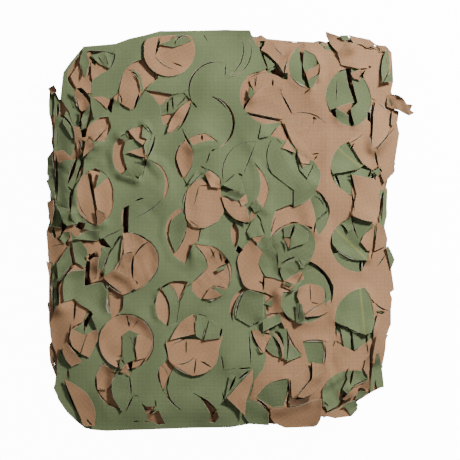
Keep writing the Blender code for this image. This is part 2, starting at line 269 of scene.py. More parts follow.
# Dark gaps and cuts, each through all cloth that lies there.
GAPS = [
    # Upper left.
    [(-140, 176), (-137, 171), (-135, 165), (-139, 168)],
    (-149, 166, -146, 151, -0.05, 1), (-140, 170, -144, 152, 0.1, 1.2),
    [(-154, 142), (-149, 143), (-144, 138), (-140, 128), (-147, 135)],
    (-155, 142, -150, 118, -0.1, 1.4),
    [(-150, 118), (-145, 121), (-149, 110), (-150, 101), (-152, 108)],
    (-140, 120, -144, 101, 0.1, 2), (-138, 133, -124, 122, 0.05, 0.7),
    [(-123, 122), (-119, 117), (-116, 133), (-120, 131)],
    (-117, 133, -110, 139, 0, 1), (-112, 137, -109, 126, 0.3, 1.6), (-104, 162, -91, 152, 0.15, 1.1),
    (-96, 121, -91, 137, 0, 2.6), (-173, 128, -174, 112, 0.05, 3), (-171, 117, -157, 100, 0.15, 2),
    [(-150, 100), (-143, 103), (-145, 93), (-149, 93)],
    # Upper middle.
    (-86, 191, -86, 172, -0.08, 1.1), (-86, 171, -72, 154, -0.15, 0.9), (-71, 196, -75, 176, 0.02, 0.9),
    (-58, 168, -48, 164, 0, 1.3), (-55, 184, -39, 191, 0.8, 1.4), (-33, 121, -4, 167, 0.8, 1.3),
    (-39, 129, -33, 122, 0.1, 1.4), (-19, 134, -3, 121, 0.15, 1.6), (5, 110, 1, 96, 0.05, 1.4),
    (-63, 129, -63, 117, 0, 1.4), (-58, 135, -57, 120, 0, 1.4), (-62, 129, -57, 134, 0, 1.2),
    (-54, 123, -44, 134, 0.05, 1), (-39, 130, -54, 98, 0.15, 1.6), (-62, 100, -45, 127, 0.25, 0.9),
    (-92, 103, -85, 106, 0, 1.2), (-85, 106, -77, 95, 0.05, 1.4), (-75, 96, -84, 70, 0.12, 2.2),
    (-97, 74, -82, 72, 0, 1.3), (-84, 70, -88, 52, 0, 0.9), (-105, 97, -101, 90, 0, 1),
    # Upper right.
    [(30, 190), (36, 191), (34, 188), (31, 182)],
    (31, 190, 30, 180, 0, 1.2), (31, 178, 38, 161, 0.05, 2.2), (34, 178, 53, 152, 0.15, 1.6),
    [(42, 159), (47, 162), (52, 157), (53, 152), (48, 156)],
    (42, 190, 58, 173, -0.2, 0.8), (58, 172, 54, 152, -0.1, 1.6),
    [(69, 184), (75, 184), (73, 176), (71, 168), (70, 176)],
    (57, 188, 76, 185, 0.25, 1.6), (75, 158, 91, 168, 0, 0.7), (75, 158, 80, 141, -0.05, 1.2),
    (79, 151, 90, 157, 0, 0.7), (59, 158, 80, 141, -0.22, 1), (18, 152, 24, 139, -0.05, 1.1),
    (13, 120, 21, 133, 0.05, 1.8), (25, 156, 25, 143, 0, 0.7), (43, 152, 43, 144, 0, 1.7),
    (50, 140, 62, 116, 0, 1.4), (14, 117, 50, 110, 0, 1.3), (51, 110, 53, 104, 0, 1.8),
    (18, 152, 38, 158, 0.15, 0.7), (64, 117, 97, 106, 0.3, 0.8), (83, 113, 86, 113, 0, 1.8),
    (85, 113, 83, 105, 0.05, 0.7), (74, 136, 80, 141, 0, 0.7),
    [(101, 121), (106, 122), (107, 112), (103, 115)],
    (97, 130, 102, 117, -0.1, 0.9),
    [(96, 199), (94, 195), (95, 190), (101, 183), (107, 179), (101, 187), (98, 193)],
    (107, 158, 121, 162, 0.1, 1.2),
    [(116, 162), (122, 163), (121, 152), (127, 130), (125, 128), (119, 145)],
    (129, 152, 136, 161, 0, 1.5), (139, 165, 142, 163, 0, 2), (136, 184, 145, 182, -0.1, 0.9),
    (119, 122, 125, 104, -0.03, 2.2), (121, 122, 127, 129, 0, 1.4), (142, 132, 147, 130, 0, 0.9),
    (146, 130, 160, 116, 0.1, 1), (143, 129, 141, 82, 0.02, 2.2),
    [(138, 119), (141, 118), (141, 108), (138, 111)],
    (163, 120, 160, 103, 0, 2.4), (154, 147, 158, 182, 0.25, 1.5), (157, 177, 159, 165, -0.1, 0.9),
    (154, 149, 161, 163, -0.05, 1), (141, 190, 156, 179, 0, 0.9), (160, 133, 163, 125, 0, 2),
    # Left.
    (-175, 105, -174, 84, 0.1, 0.9), (-153, 73, -163, 46, 0, 4), (-148, 70, -155, 48, 0, 2.2),
    (-175, 78, -174, 28, 0.02, 3.4), (-163, 44, -157, 38, 0, 1.8), (-159, 40, -160, 16, -0.05, 2.8),
    (-154, 50, -158, 30, -0.1, 1.4), (-142, 57, -135, 20, 0.02, 1.3), (-135, 20, -133, 6, 0, 1.3),
    (-136, 45, -141, 41, 0, 1.4), (-133, 20, -124, 15, 0, 0.9), (-153, 34, -140, 9, -0.2, 0.9),
    [(-107, 21), (-103, 24), (-102, -3), (-107, -3)],
    (-111, 93, -102, 98, 0, 1), (-108, 56, -103, 62, 0, 1.2), (-96, 55, -91, 51, 0, 1.6),
    (-152, 92, -148, 78, 0, 1.4), (-143, 95, -136, 88, 0, 1.2), (-144, 92, -148, 74, 0, 1.4),
    (-144, 80, -122, 104, 0, 1.2),
    # Middle.
    (-68, 31, -94, 13, 0.12, 0.9), (-49, 104, -37, 80, -0.05, 1.8), (-28, 96, -28, 89, 0, 1.8),
    (-15, 81, -19, 79, 0, 1.8), (-20, 79, -24, 66, 0.05, 1.4), (-54, 72, -47, 53, -0.12, 1.6),
    (-47, 53, -42, 41, 0, 1.4), (-42, 42, -43, 8, -0.17, 1.4), (-42, 41, -26, 58, 0.1, 1.1),
    (-30, 64, -24, 61, 0, 1.4), (-26, 62, -9, 51, 0.15, 1), (-25, 52, -22, 46, 0, 1.3),
    (-31, 44, -36, 24, -0.03, 1.1), (-31, 44, -20, 44, 0.1, 0.8), (-10, 52, -9, 42, 0, 1.1),
    (5, 84, -6, 47, -0.3, 1.1), (-6, 47, 5, 56, 0, 1.1), (-9, 43, 5, 39, -0.05, 1.3),
    (-9, 35, -4, 20, -0.1, 1.1), (-6, 18, 5, 10, -0.1, 1.2), (-95, 29, -86, 32, 0.1, 1.2),
    (31, 105, 28, 91, 0, 1.4), (26, 88, 13, 55, 0, 1.1), (28, 90, 40, 94, 0, 1.2),
    (40, 94, 47, 103, 0, 0.9), (42, 91, 42, 57, -0.3, 1.2), (46, 92, 52, 86, 0, 1.1),
    (52, 82, 66, 76, 0, 1.3), (59, 90, 67, 81, 0, 1.1), (68, 82, 67, 69, -0.15, 1.8),
    (52, 106, 59, 90, 0.05, 2), (68, 67, 83, 65, 0, 1.1), (84, 67, 77, 52, 0.05, 1.2),
    (82, 76, 90, 77, 0, 1.4), (88, 75, 84, 70, 0, 1.3), (63, 40, 63, 24, 0, 1.3),
    (59, 24, 64, 24, 0, 2.2), (24, 68, 31, 59, 0, 1.1), (8, 57, 13, 54, 0, 1.8), (20, 24, 24, 17, 0, 1.6),
    (26, 17, 32, 8, 0, 1.6), (87, 40, 97, 20, 0.25, 1.7), (98, 20, 85, 8, 0, 0.9),
    (59, 7, 70, 7, 0.1, 1.4), (86, 8, 84, -4, 0, 1.6),
    # Right.
    (162, 103, 142, 80, 0.2, 1.3), (145, 80, 149, 63, 0, 2.2), (150, 62, 153, 58, 0, 2),
    (125, 88, 120, 81, 0.1, 1.6), (117, 86, 134, 97, -0.1, 0.7), (104, 57, 122, 58, -0.1, 0.8),
    (105, 56, 111, 43, 0, 2), (121, 57, 125, 40, 0, 2.2), (122, 40, 125, 18, 0, 1.5),
    (123, 16, 121, 11, 0, 1.2), (122, 55, 132, 62, 0.2, 0.9), (132, 62, 143, 60, 0.1, 0.9),
    (142, 60, 139, 53, 0, 2.4), (156, 44, 151, 12, -0.1, 2.2), (121, 13, 129, -10, -0.03, 1.7),
    (112, 6, 118, -2, 0, 1.4), (131, -8, 143, 3, 0, 0.7), (147, 8, 145, -12, 0, 2),
    (131, -13, 137, -21, 0, 0.9), (142, -18, 145, -22, 0, 1.3), (143, -22, 142, -30, 0, 1.4),
    (145, -22, 157, -17, 0.05, 1.3), (157, -24, 148, -37, 0.05, 0.9), (131, -30, 131, -42, 0, 2.8),
    (104, -16, 128, -30, -0.15, 0.8), (142, -69, 145, -74, 0, 1.8), (145, -72, 159, -81, -0.2, 1.5),
    [(146, -82), (150, -81), (156, -82), (153, -85)],
    (79, -31, 102, -70, 0.3, 2.6),
    # Middle, below the centre.
    (6, 10, 20, 6, -0.1, 1.4), (30, 10, 35, -5, 0, 1.5), (65, 6, 60, -9, 0, 2.6),
    (39, -12, 66, 7, 0.3, 1), (40, -16, 48, -30, -0.15, 0.7), (60, -19, 75, -14, 0, 1.3),
    (54, -9, 59, -19, -0.05, 1.1), (47, -22, 48, -38, 0, 1.5), (48, -36, 54, -52, -0.1, 1.5),
    (51, -34, 66, -27, 0.1, 2), (68, -28, 73, -36, 0, 1), (53, -51, 62, -54, 0, 0.9),
    (73, -43, 67, -54, 0, 0.9), (20, -8, 33, -22, 0, 1.1), (33, -22, 28, -33, 0, 0.6),
    (28, -33, 33, -45, 0, 0.8), (34, -44, 33, -62, 0, 2.2), (29, -51, 33, -54, 0, 1.8),
    (7, -25, 15, -58, -0.15, 1.5), (15, -58, 44, -67, 0, 1.5),
    [(8, -15), (13, -20), (9, -24), (6, -21)],
    (6, -90, 16, -59, 0.15, 1.4), (34, -74, 42, -78, 0, 1), (34, -74, 43, -66, 0, 0.9),
    (34, -86, 50, -83, 0.05, 1.1), (80, -54, 81, -72, 0, 1.1), (81, -72, 90, -74, -0.1, 1),
    (95, -60, 96, -77, 0.1, 0.9), (75, -84, 91, -74, 0, 0.8), (76, -87, 90, -87, -0.1, 1.5),
    (52, -80, 61, -92, -0.1, 2), (70, -73, 68, -90, 0, 1.3), (-64, 0, -55, -23, -0.05, 1.3),
    (-55, -23, -43, 6, -0.15, 1), (-41, 10, -30, 2, 0, 1.1), (-30, 1, -32, -13, 0, 0.8),
    (-38, -14, -45, -34, 0, 1.1), (-37, -14, -22, -37, 0.2, 1.1), (-22, -38, -38, -53, 0, 0.9),
    (-38, -53, -44, -58, 0, 0.8), (-14, -19, -2, -58, 0.3, 1), (-14, -20, -20, -29, 0, 0.8),
    (-11, -22, -9, -31, 0, 1.2),
    [(-6, -32), (-3, -28), (-1, -33), (-4, -34)],
    (-1, -33, -14, -39, 0, 1.2), (-19, -56, -3, -59, 0.1, 1), (-20, -57, -27, -68, 0, 0.9),
    (-27, -69, -7, -65, -0.2, 0.9), (-70, -59, -60, -53, 0, 1.6), (-60, -53, -45, -54, 0.05, 0.9),
    (-69, -60, -61, -90, 0.22, 1.5), (-58, -56, -51, -75, 0.1, 0.7), (-46, -54, -45, -61, -0.1, 1.2),
    (-45, -61, -50, -71, 0, 0.9), (-34, -84, -34, -92, 0, 1.4), (-33, -84, -22, -87, 0, 1),
    (-96, -27, -80, -11, 0.2, 1.6), (-96, -24, -97, -50, -0.12, 2.4), (-95, -50, -92, -55, 0, 1.4),
    # Left, below the middle.
    (-165, 8, -172, -10, 0, 2.6),
    [(-169, 8), (-163, 4), (-168, -2), (-170, 2)],
    [(-178, 4), (-175, -7), (-177, -9), (-180, -1)],
    [(-156, 3), (-152, 8), (-145, 7), (-146, 2), (-150, 0)],
    (-166, -14, -161, -4, -0.2, 1.5), (-161, -16, -158, -34, -0.02, 1), (-149, -11, -131, -12, 0, 1.4),
    [(-132, -10), (-127, -8), (-122, -14), (-119, -18), (-125, -17), (-130, -15)],
    (-127, -8, -108, 1, 0, 1.1), (-117, -16, -109, -4, 0, 1.6),
    [(-143, -28), (-136, -22), (-135, -26), (-141, -31)],
    [(-144, -30), (-140, -33), (-141, -50), (-139, -55), (-146, -56), (-146, -48)],
    (-119, -18, -129, -45, 0, 1.5), (-131, -43, -126, -48, 0, 2), (-156, -36, -169, -50, -0.1, 1.8),
    (-169, -49, -174, -58, 0, 2), (-174, -57, -172, -76, 0, 1.8), (-175, -38, -172, -50, 0, 1.1),
    (-178, -48, -178, -88, 0, 1.8), (-180, -17, -166, -13, 0, 0.7), (-155, -70, -156, -90, 0, 1.5),
    [(-141, -80), (-137, -84), (-141, -90), (-144, -91), (-142, -86)],
    (-128, -47, -107, -64, -0.12, 2), (-122, -63, -121, -88, 0, 1.2), (-107, -66, -108, -80, 0, 1.2),
    (-104, -84, -101, -98, 0, 1.4), (-98, -98, -91, -90, 0, 0.9), (-160, -93, -162, -112, 0, 1.8),
    (-163, -112, -148, -128, 0, 1.3),
    [(-147, -93), (-142, -85), (-140, -88), (-144, -98)],
    (-146, -88, -146, -104, 0, 1.6), (-143, -104, -150, -123, 0, 1), (-171, -120, -168, -125, 0, 1.1),
    (-163, -140, -163, -150, 0, 1.6), (-167, -149, -151, -188, -0.04, 2.8),
    (-144, -189, -137, -197, -0.2, 1.6), (-179, -126, -173, -147, 0, 1.6),
    (-108, -106, -108, -126, 0, 0.8), (-101, -105, -95, -118, 0, 0.8), (-95, -118, -95, -130, 0, 1.1),
    (-113, -127, -108, -126, 0, 1.1), (-110, -128, -105, -134, 0, 1.3), (-113, -141, -110, -128, 0, 1.2),
    [(-103, -133), (-97, -131), (-99, -144)],
    (-110, -141, -101, -146, 0, 0.8), (-134, -145, -134, -161, -0.1, 1.3),
    (-134, -160, -122, -175, -0.1, 1.5), (-133, -159, -124, -161, 0, 0.7),
    (-119, -142, -114, -144, 0, 1.3), (-101, -146, -99, -166, 0.03, 1.7), (-97, -166, -105, -183, 0, 1.6),
    (-97, -166, -91, -167, 0, 1), (-98, -193, -90, -192, 0, 1.5),
    # Bottom.
    (-84, -127, -91, -137, 0.05, 1.8), (-65, -110, -61, -130, -0.08, 1.6), (-60, -116, -36, -105, 0, 0.9),
    (-44, -110, -44, -124, 0, 1.3), (-34, -128, -36, -145, 0, 1.1), (-28, -131, -18, -138, 0, 1.1),
    (-60, -132, -37, -146, -0.1, 0.9), (-8, -98, -10, -107, 0, 2.2), (-28, -110, -25, -98, 0, 0.9),
    (-9, -125, -6, -142, 0.02, 1.5), (-6, -141, 8, -138, 0, 0.8), (-61, -147, -64, -160, 0, 1.5),
    (-67, -161, -48, -182, -0.1, 1.3), (-70, -134, -62, -146, 0.15, 0.7),
    (-38, -163, -14, -181, 0.1, 1.3), (-14, -181, -19, -187, 0, 1.8), (-8, -162, -3, -175, -0.1, 1.2),
    (6, -146, -1, -162, 0, 2.4), (-75, -170, -74, -178, 0, 1.4), (-74, -180, -83, -185, 0.1, 1.7),
    (-88, -193, -80, -193, 0, 1.4), (19, -100, 21, -136, 0, 1.3), (21, -100, 34, -123, -0.15, 1.6),
    (33, -103, 41, -105, 0, 1.8), (43, -107, 52, -129, 0.2, 2), (57, -98, 57, -131, 0.08, 1.8),
    (57, -99, 73, -126, -0.15, 1.3), (73, -112, 99, -113, 0.15, 1.4), (95, -114, 94, -136, 0.1, 1.6),
    (82, -132, 82, -150, 0, 1.5), (82, -148, 67, -167, 0, 1.3), (58, -149, 59, -165, 0.02, 1.8),
    (59, -163, 57, -178, 0, 2), (60, -169, 75, -169, 0, 1.8), (25, -169, 40, -182, 0.1, 2.4),
    (40, -181, 40, -191, 0, 1.6), (8, -139, 22, -138, 0, 1.6), (20, -140, 8, -150, 0, 2.2),
    (24, -152, 20, -168, 0, 0.9), (94, -172, 99, -177, 0, 1.4), (108, -160, 112, -175, 0, 2.6),
    (96, -184, 112, -177, 0, 1.8), (106, -93, 114, -102, 0.1, 1.1), (107, -95, 107, -108, -0.1, 1.5),
    (106, -110, 103, -118, 0, 1.2), (108, -111, 115, -118, 0, 0.7), (117, -97, 136, -105, -0.12, 1.2),
    (122, -102, 122, -121, 0, 1.6), (143, -98, 143, -108, 0, 1.3), (137, -112, 139, -125, 0, 1.4),
    (142, -114, 141, -130, 0, 1.8), (141, -126, 140, -156, 0.05, 3.2), (120, -138, 117, -152, -0.3, 1.8),
    (124, -140, 121, -156, -0.05, 2.8), (122, -157, 138, -149, -0.05, 1.4),
    (129, -160, 137, -162, 0, 1.2),
]
EDGE_KEPT = 12.0  # how far inside the pack's edge the gaps in the third layer from above start


def leaf(
    face, loft, outline, cuts=(), crumple=0.0, lift=1.2,
    stripe=None, roll=None, height=None, sunk=False, tone=None,
):
    """A leaf: the face it shows, how loosely it lies, and its outline.

    crumple is the depth of its sharp folds and lift how far its far end rises. stripe is two points of a
    faded stripe's line. roll curls the end of it: a point on the line where the curl starts, the way towards
    the tip in degrees, the curl's radius and how far round it goes in degrees. height is for a leaf that
    stands out past the pile, at that height. A sunk one lies in its own hole in the layer. tone makes the
    leaf lighter or darker: a given tone below 0 is painted shade for a leaf that lies in shadow. Where tone
    is None, it is a random one.
    """
    return locals()


green, brown = partial(leaf, GREEN), partial(leaf, BROWN)

# The leaves that lie on each layer, in the order in which they are laid.
THIRD_LEAVES = [
    # Upper right.
    green(2.6, [(34, 176), (46, 166), (38, 161), (35, 168)]),
    green(3, [(69, 184), (71, 178), (72, 166), (72, 152), (80, 141, 0.15), (66, 147, 0.15),
        (58, 158, 0.15), (58, 170, 0.15)], lift=0.8),
    green(2.8, [(75, 184, 0.1), (84, 178, 0.1), (90, 168), (75, 158), (73, 166)], lift=0.8),
    brown(2.2, [(75, 159), (91, 168, 0.1), (90, 155), (79, 149)], lift=0.6),
    green(2.6, [(78, 150), (91, 157), (81, 140)], lift=0.6),
    green(3, [(95, 186), (102, 185), (106, 180), (96, 182)]),
    green(3, [(96, 135, 0.1), (99, 147, 0.1), (108, 159, 0.05), (116, 162), (118, 150), (125, 128),
        (107, 123), (107, 114), (101, 120, 0.1)], cuts=[(106, 152, 106, 128, 0.1, 0.9)], lift=0.6),
    brown(1.6, [(106, 123), (122, 128), (123, 124), (120, 112)], lift=0.6),
    green(2.6, [(107, 122), (119, 115), (119, 105, 0.05), (110, 107, 0.05), (105, 113)], lift=0.6),
    green(3.2, [(121, 157), (135, 152, 0.1), (141, 140, 0.1), (143, 128, 0.1), (137, 113, 0.1),
        (130, 106, 0.1), (124, 103), (121, 121), (128, 128), (123, 148)], lift=0.6),
    green(2.2, [(121, 163), (131, 162), (121, 156)]),
    brown(1.8, [(121, 157), (131, 162), (131, 150), (124, 152)]),
    # Middle right.
    green(2, [(78, 34), (90, 42), (101, 20, 0.1), (92, -8), (82, 0)], cuts=[(86, 7, 99, 20, 0, 1.8),
        (84, 34, 94, 24, 0.3, 1.4)]),
    green(1.6, [(100, 62), (112, 60), (124, 58), (125, 34), (110, 40)], cuts=[(106, 57, 111, 42, 0, 2)]),
    green(2.4, [(120, 56), (132, 63, 0.1), (143, 61), (142, 50)], crumple=0.5),
    green(3, [(101, 70, 0.1), (110, 85, 0.1), (122, 92), (137, 67), (128, 61), (103, 56, 0.1)],
        stripe=(111, 80, 129, 65)),
    green(2.2, [(120, 15), (134, 14), (146, 6), (139, -2), (130, -12), (125, -4)], tone=-0.1),
    green(2, [(103, -24, 0.1), (112, -37, 0.1), (122, -43, 0.05), (134, -44), (133, -28), (114, -22)]),
    green(2.4, [(103, -4, 0.1), (112, 6), (118, -2), (123, 1), (141, -27), (140, -30, 0.05),
        (125, -30, 0.1), (112, -24, 0.1), (103, -14, 0.1)], stripe=(110, -3, 134, -26), tone=0.05,
        lift=0.5),
    brown(1, [(108, -101), (116, -112), (115, -119), (106, -110)]),
    green(1.6, [(111, -99), (117, -96), (121, -105), (121, -123), (115, -120)]),
    green(1.8, [(123, -102), (137, -105), (136, -114), (125, -121)]),
    green(2, [(138, -104), (144, -97), (143, -115), (139, -128)]),
    green(3.4, [(104, -91, 0.1), (107, -77, 0.15), (119, -63, 0.1), (135, -58, 0.1), (142, -67),
        (145, -81), (145, -100, 0.1), (136, -105), (125, -103, 0.1), (118, -97, 0.1)],
        stripe=(131, -60, 135, -103)),
    # The middle, where the top layer ends.
    green(3, [(52, -63, 0.1), (52, -77, 0.15), (59, -88, 0.1), (69, -94, 0.05), (77, -94, 0.2),
        (98, -80, 0.25), (101, -60, 0.3), (84, -40, 0.1), (70, -42), (58, -50)]),
    green(2.6, [(71, -109), (96, -109), (98, -122), (97, -137), (77, -137)]),
    # Lower right.
    green(3, [(22, -172), (34, -156, 0.15), (48, -149, 0.1), (58, -149), (57, -162), (54, -178),
        (42, -180)], tone=-0.1),
]
SECOND_LEAVES = [
    # Upper left corner and left edge.
    green(1.5, [(-140, 175), (-128, 179), (-114, 178, 0.1), (-114, 172), (-121, 162), (-131, 167)],
        cuts=[(-126, 177, -122, 165), (-133, 175, -127, 166)], crumple=0.8),
    brown(1.5, [(-139, 166, 0.2), (-126, 158), (-138, 150, 0.1)]),
    brown(2, [(-160, 154), (-151, 168), (-145, 153), (-139, 148), (-139, 137), (-152, 138)]),
    brown(5, [(-154, 142), (-148, 136), (-140, 126), (-142, 121), (-149, 119), (-154, 125), (-155, 133)]),
    green(0.5, [(-183, 143), (-178, 145), (-174, 130), (-175, 114), (-182, 116)], lift=3),
    green(1.5, [(-177, 142), (-171, 130), (-171, 112), (-176, 114)], lift=2),
    brown(2.5, [(-184, 143), (-178, 147), (-174, 140), (-180, 137)], lift=2),
    green(1.6, [(-176, 117, 0.2), (-157, 97, 0.2), (-159, 74, 0.1), (-177, 76)]),
    green(1, [(-165, 120), (-150, 108), (-142, 112), (-146, 98), (-158, 92), (-168, 108)]),
    brown(1, [(-157, 104), (-150, 103), (-149, 92), (-155, 92)], tone=-0.2),
    brown(1, [(-154, 92), (-148, 92), (-149, 77), (-152, 73)]),
    brown(2.2, [(-146, 85), (-139, 95), (-122, 106), (-124, 90), (-134, 79), (-142, 73)],
        cuts=[(-144, 80, -128, 96)], crumple=0.6),
    green(2.6, [(-140, 90), (-130, 88), (-134, 83)]),
    brown(2.8, [(-145, 91), (-135, 84), (-147, 73)]),
    brown(1.2, [(-176, 79), (-167, 80), (-158, 71), (-168, 67), (-177, 70)]),
    green(1.5, [(-184, 72), (-179, 77), (-177, 60), (-176, 32), (-179, 31), (-183, 46)], crumple=0.6),
    green(1.6, [(-167, 60), (-156, 72), (-150, 69), (-150, 55), (-155, 44), (-156, 30), (-158, 16),
        (-162, 20)], crumple=0.6),
    green(2, [(-176, 58), (-169, 69, 0.1), (-158, 70), (-161, 56), (-165, 44), (-160, 40), (-162, 30),
        (-160, 16), (-176, 18), (-175, 40)], crumple=0.5),
    green(2.4, [(-182, 20), (-174, 26), (-168, 12), (-172, 2), (-182, 4)], crumple=0.8),
    brown(2.6, [(-184, 28), (-177, 30), (-176, 20), (-179, 5), (-181, 12)]),
    green(3, [(-172, 24), (-160, 20), (-154, 6), (-166, 4)], crumple=0.8),
    # The rest of the left edge, downwards.
    brown(1.5, [(-185, 0), (-175, -9), (-166, -13), (-163, -17), (-172, -28), (-175, -35), (-183, -31)],
        lift=2),
    green(1.5, [(-181, -34), (-174, -34), (-158, -40), (-168, -52), (-181, -49)]),
    brown(1.2, [(-185, -31), (-180, -33), (-180, -62), (-182, -46)], tone=-0.1),
    green(1.2, [(-178, -42), (-173, -50), (-175, -57), (-173, -78), (-178, -86), (-180, -60)],
        crumple=0.6, tone=-0.1),
    brown(1.8, [(-171, -53), (-165, -45), (-156, -41), (-144, -39), (-154, -34), (-158, -36),
        (-168, -48)]),
    brown(1, [(-171, -56), (-167, -52), (-168, -68), (-165, -76), (-170, -80)], tone=-0.05),
    green(2.2, [(-174, -34), (-161, -15), (-158, -34), (-172, -49)]),
    green(2.6, [(-160, -2, 0.1), (-143, -20, 0.1), (-144, -38), (-155, -32)], lift=2),
    brown(1.5, [(-144, -26), (-130, -28), (-127, -50), (-140, -53)], cuts=[(-138, -28, -136, -50)]),
    brown(1, [(-171, -55), (-165, -48), (-166, -72), (-172, -82)]),
    brown(2, [(-181, -93), (-175, -77, 0.1), (-156, -70, 0.15), (-142, -79, 0.1), (-137, -84),
        (-145, -91), (-154, -95), (-146, -104), (-142, -105), (-150, -118, 0.1), (-160, -128),
        (-174, -126), (-180, -111, 0.1)], cuts=[(-156, -72, -157, -91, 0.05, 2),
        (-160, -93, -162, -111, 0, 1.6), (-154, -95, -160, -100, 0, 1.4)]),
    brown(1.6, [(-182, -117), (-179, -122), (-172, -147), (-176, -142), (-181, -130)]),
    # Top middle.
    green(1.6, [(-71, 124), (-57, 136), (-46, 138), (-42, 132), (-46, 117), (-62, 117), (-69, 115)],
        cuts=[(-62, 130, -63, 117, 0, 2), (-58, 135, -57, 120, 0, 1.8), (-50, 127, -44, 134, 0, 1.4)],
        crumple=0.8),
    green(2.6, [(-71, 105), (-64, 107), (-60, 97), (-66, 94), (-74, 99)], crumple=0.6),
    brown(3.2, [(-104, 161, 0.1), (-94, 154, 0.1), (-90, 143, 0.1), (-92, 131), (-98, 121, 0.1),
        (-112, 129, 0.05), (-110, 145, 0.1)], lift=0.6),
    green(2, [(-98, 162, 0.1), (-91, 150), (-88, 136), (-95, 124), (-86, 140), (-90, 156)]),
    # Upper right.
    brown(1, [(24, 192), (31, 196), (30, 188), (28, 180), (24, 186)]),
    brown(1.4, [(31, 181), (36, 189), (42, 190), (46, 183), (57, 174), (58, 158), (54, 157), (49, 166),
        (38, 177)], lift=1.5),
    brown(0.8, [(20, 150), (26, 155), (35, 158, 0.05), (45, 156, 0.05), (54, 151), (53, 141), (40, 142),
        (30, 141), (22, 132)], cuts=[(27, 156, 25, 142, 0, 1), (43, 152, 43, 144, 0, 2)]),
    green(1.2, [(20, 143), (25, 139), (22, 130), (18, 134)]),
    brown(1.8, [(14, 119, 0.1), (22, 133, 0.1), (32, 142, 0.08), (41, 145, 0.05), (50, 141), (61, 117),
        (52, 111)], lift=1.5),
    brown(2.4, [(97, 202), (110, 195), (122, 186, 0.1), (124, 182), (116, 179), (108, 179), (101, 186),
        (97, 193)], lift=5),
    green(1, [(110, 195), (118, 196), (121, 191), (114, 190)], crumple=0.6, tone=-0.15),
    brown(1.2, [(119, 196), (141, 192), (147, 187), (138, 183), (132, 187), (124, 188)], crumple=0.4),
    brown(0.8, [(148, 187), (158, 186), (160, 180), (152, 180)], tone=-0.2, crumple=0.8),
    brown(0.6, [(118, 188, 0.1), (134, 184, 0.15), (140, 171, 0.1), (139, 163), (128, 162), (112, 166),
        (108, 178)], lift=0.8),
    green(2.2, [(159, 183), (161, 170), (159, 156), (153, 147), (151, 157, 0.1), (152, 168, 0.1)],
        lift=3),
    green(1.8, [(154, 148), (161, 158), (163, 169), (164, 149)], lift=2),
    brown(2.2, [(146, 130, 0.2), (159, 118, 0.1), (161, 104, 0.1), (154, 88), (141, 79), (142, 105)],
        lift=3),
    brown(1.2, [(147, 80), (168, 105), (171, 98), (166, 68), (164, 57), (155, 47), (150, 60)], lift=3),
    brown(1.2, [(165, 122), (171, 120), (169, 109), (163, 104), (160, 112)], lift=1),
    # Middle right.
    brown(0.5, [(119, 89), (130, 98), (142, 92), (148, 78), (149, 64), (143, 60), (133, 67)], lift=0.4),
    green(1.2, [(144, 59), (152, 64), (149, 53)]),
    brown(2, [(122, 55, 0.05), (137, 53, 0.15), (147, 45, 0.1), (151, 35, 0.1), (148, 14), (144, 8, 0.1),
        (122, 15), (127, 36)], lift=2),
    green(0.6, [(151, 40), (157, 40), (158, 16), (155, 2), (150, 6)], cuts=[(154, 38, 152, 8, 0, 1.6)]),
    green(1.2, [(112, 6), (121, 13), (125, 3), (119, -2)], tone=0.05),
    brown(1.4, [(131, -12), (135, -4, 0.1), (143, 2), (145, 5), (144, -6), (143, -14), (143, -20),
        (138, -21)]),
    brown(1.6, [(148, 8, 0.05), (153, 4), (158, -9), (156, -16), (145, -21), (146, -12), (147, -4)]),
    green(1, [(157, -18), (159, -16), (163, -23), (166, -30), (162, -40), (160, -30)], lift=1),
    brown(1, [(150, -79), (162, -80), (162, -95), (156, -106), (148, -120), (144, -128), (144, -100)]),
    brown(1.8, [(147, -105), (159, -105), (148, -127), (145, -132), (143, -128)], lift=2),
    green(1.4, [(146, -130), (149, -122), (153, -140), (155, -158), (148, -159), (146, -150), (144, -162),
        (141, -163), (141, -145)]),
    # The middle, where the top layer ends.
    brown(1, [(41, -5), (45, 10, 0.15), (58, 23, 0.15), (80, 31, 0.1), (86, 10), (84, 3), (70, 6, -0.15),
        (54, -2, -0.1), (46, -14)]),
    green(2, [(39, -12, 0.05), (44, -5, 0.05), (54, 3, 0.05), (66, 7, 0.1), (79, 2, 0.1), (86, -12, 0.1),
        (84, -23, 0.1), (78, -34), (60, -40), (48, -38), (46, -24)], crumple=0.4),
    green(1.6, [(48, -63, 0.1), (52, -78, 0.15), (60, -88, 0.1), (72, -94, 0.1), (77, -91), (72, -78),
        (66, -62)]),
    brown(0.6, [(34, -46), (44, -48), (53, -53), (61, -62), (53, -62), (51, -78), (53, -82), (36, -86),
        (34, -72), (44, -67), (34, -62)], lift=0.4),
    green(0.8, [(36, -119), (41, -108), (47, -104), (53, -115), (53, -129), (44, -126)], crumple=0.5,
        tone=-0.12),
    green(1, [(48, -99), (57, -99), (59, -115), (57, -131), (53, -128), (55, -112)]),
    green(0.8, [(58, -112), (73, -126), (57, -132)]),
    brown(1.4, [(42, -101), (50, -108), (54, -118), (54, -128), (52, -129), (51, -116), (45, -106)]),
    brown(1.8, [(82, -132), (94, -136), (94, -142), (82, -150)], lift=2, tone=-0.05),
    # Lower right.
    brown(1.4, [(61, -150), (78, -137, 0.1), (80, -147, 0.1), (76, -157, 0.1), (62, -169)], lift=2),
    brown(2, [(68, -167, 0.1), (76, -156, 0.05), (93, -141, 0.1), (94, -147, 0.1), (82, -164, 0.1),
        (73, -168)], lift=2),
    # Its dark tone is painted shade for a strip that lies in shadow.
    brown(1, [(60, -168), (78, -168), (82, -164), (78, -173), (60, -178)], tone=-0.4),
    green(2.2, [(93, -160, 0.05), (101, -148, 0.1), (115, -141), (117, -147), (111, -160), (109, -176),
        (98, -182), (93, -173)], crumple=0.8),
    green(2.2, [(117, -141), (133, -141, 0.1), (139, -147), (139, -151), (122, -158), (119, -165),
        (113, -160), (118, -150)], crumple=0.8),
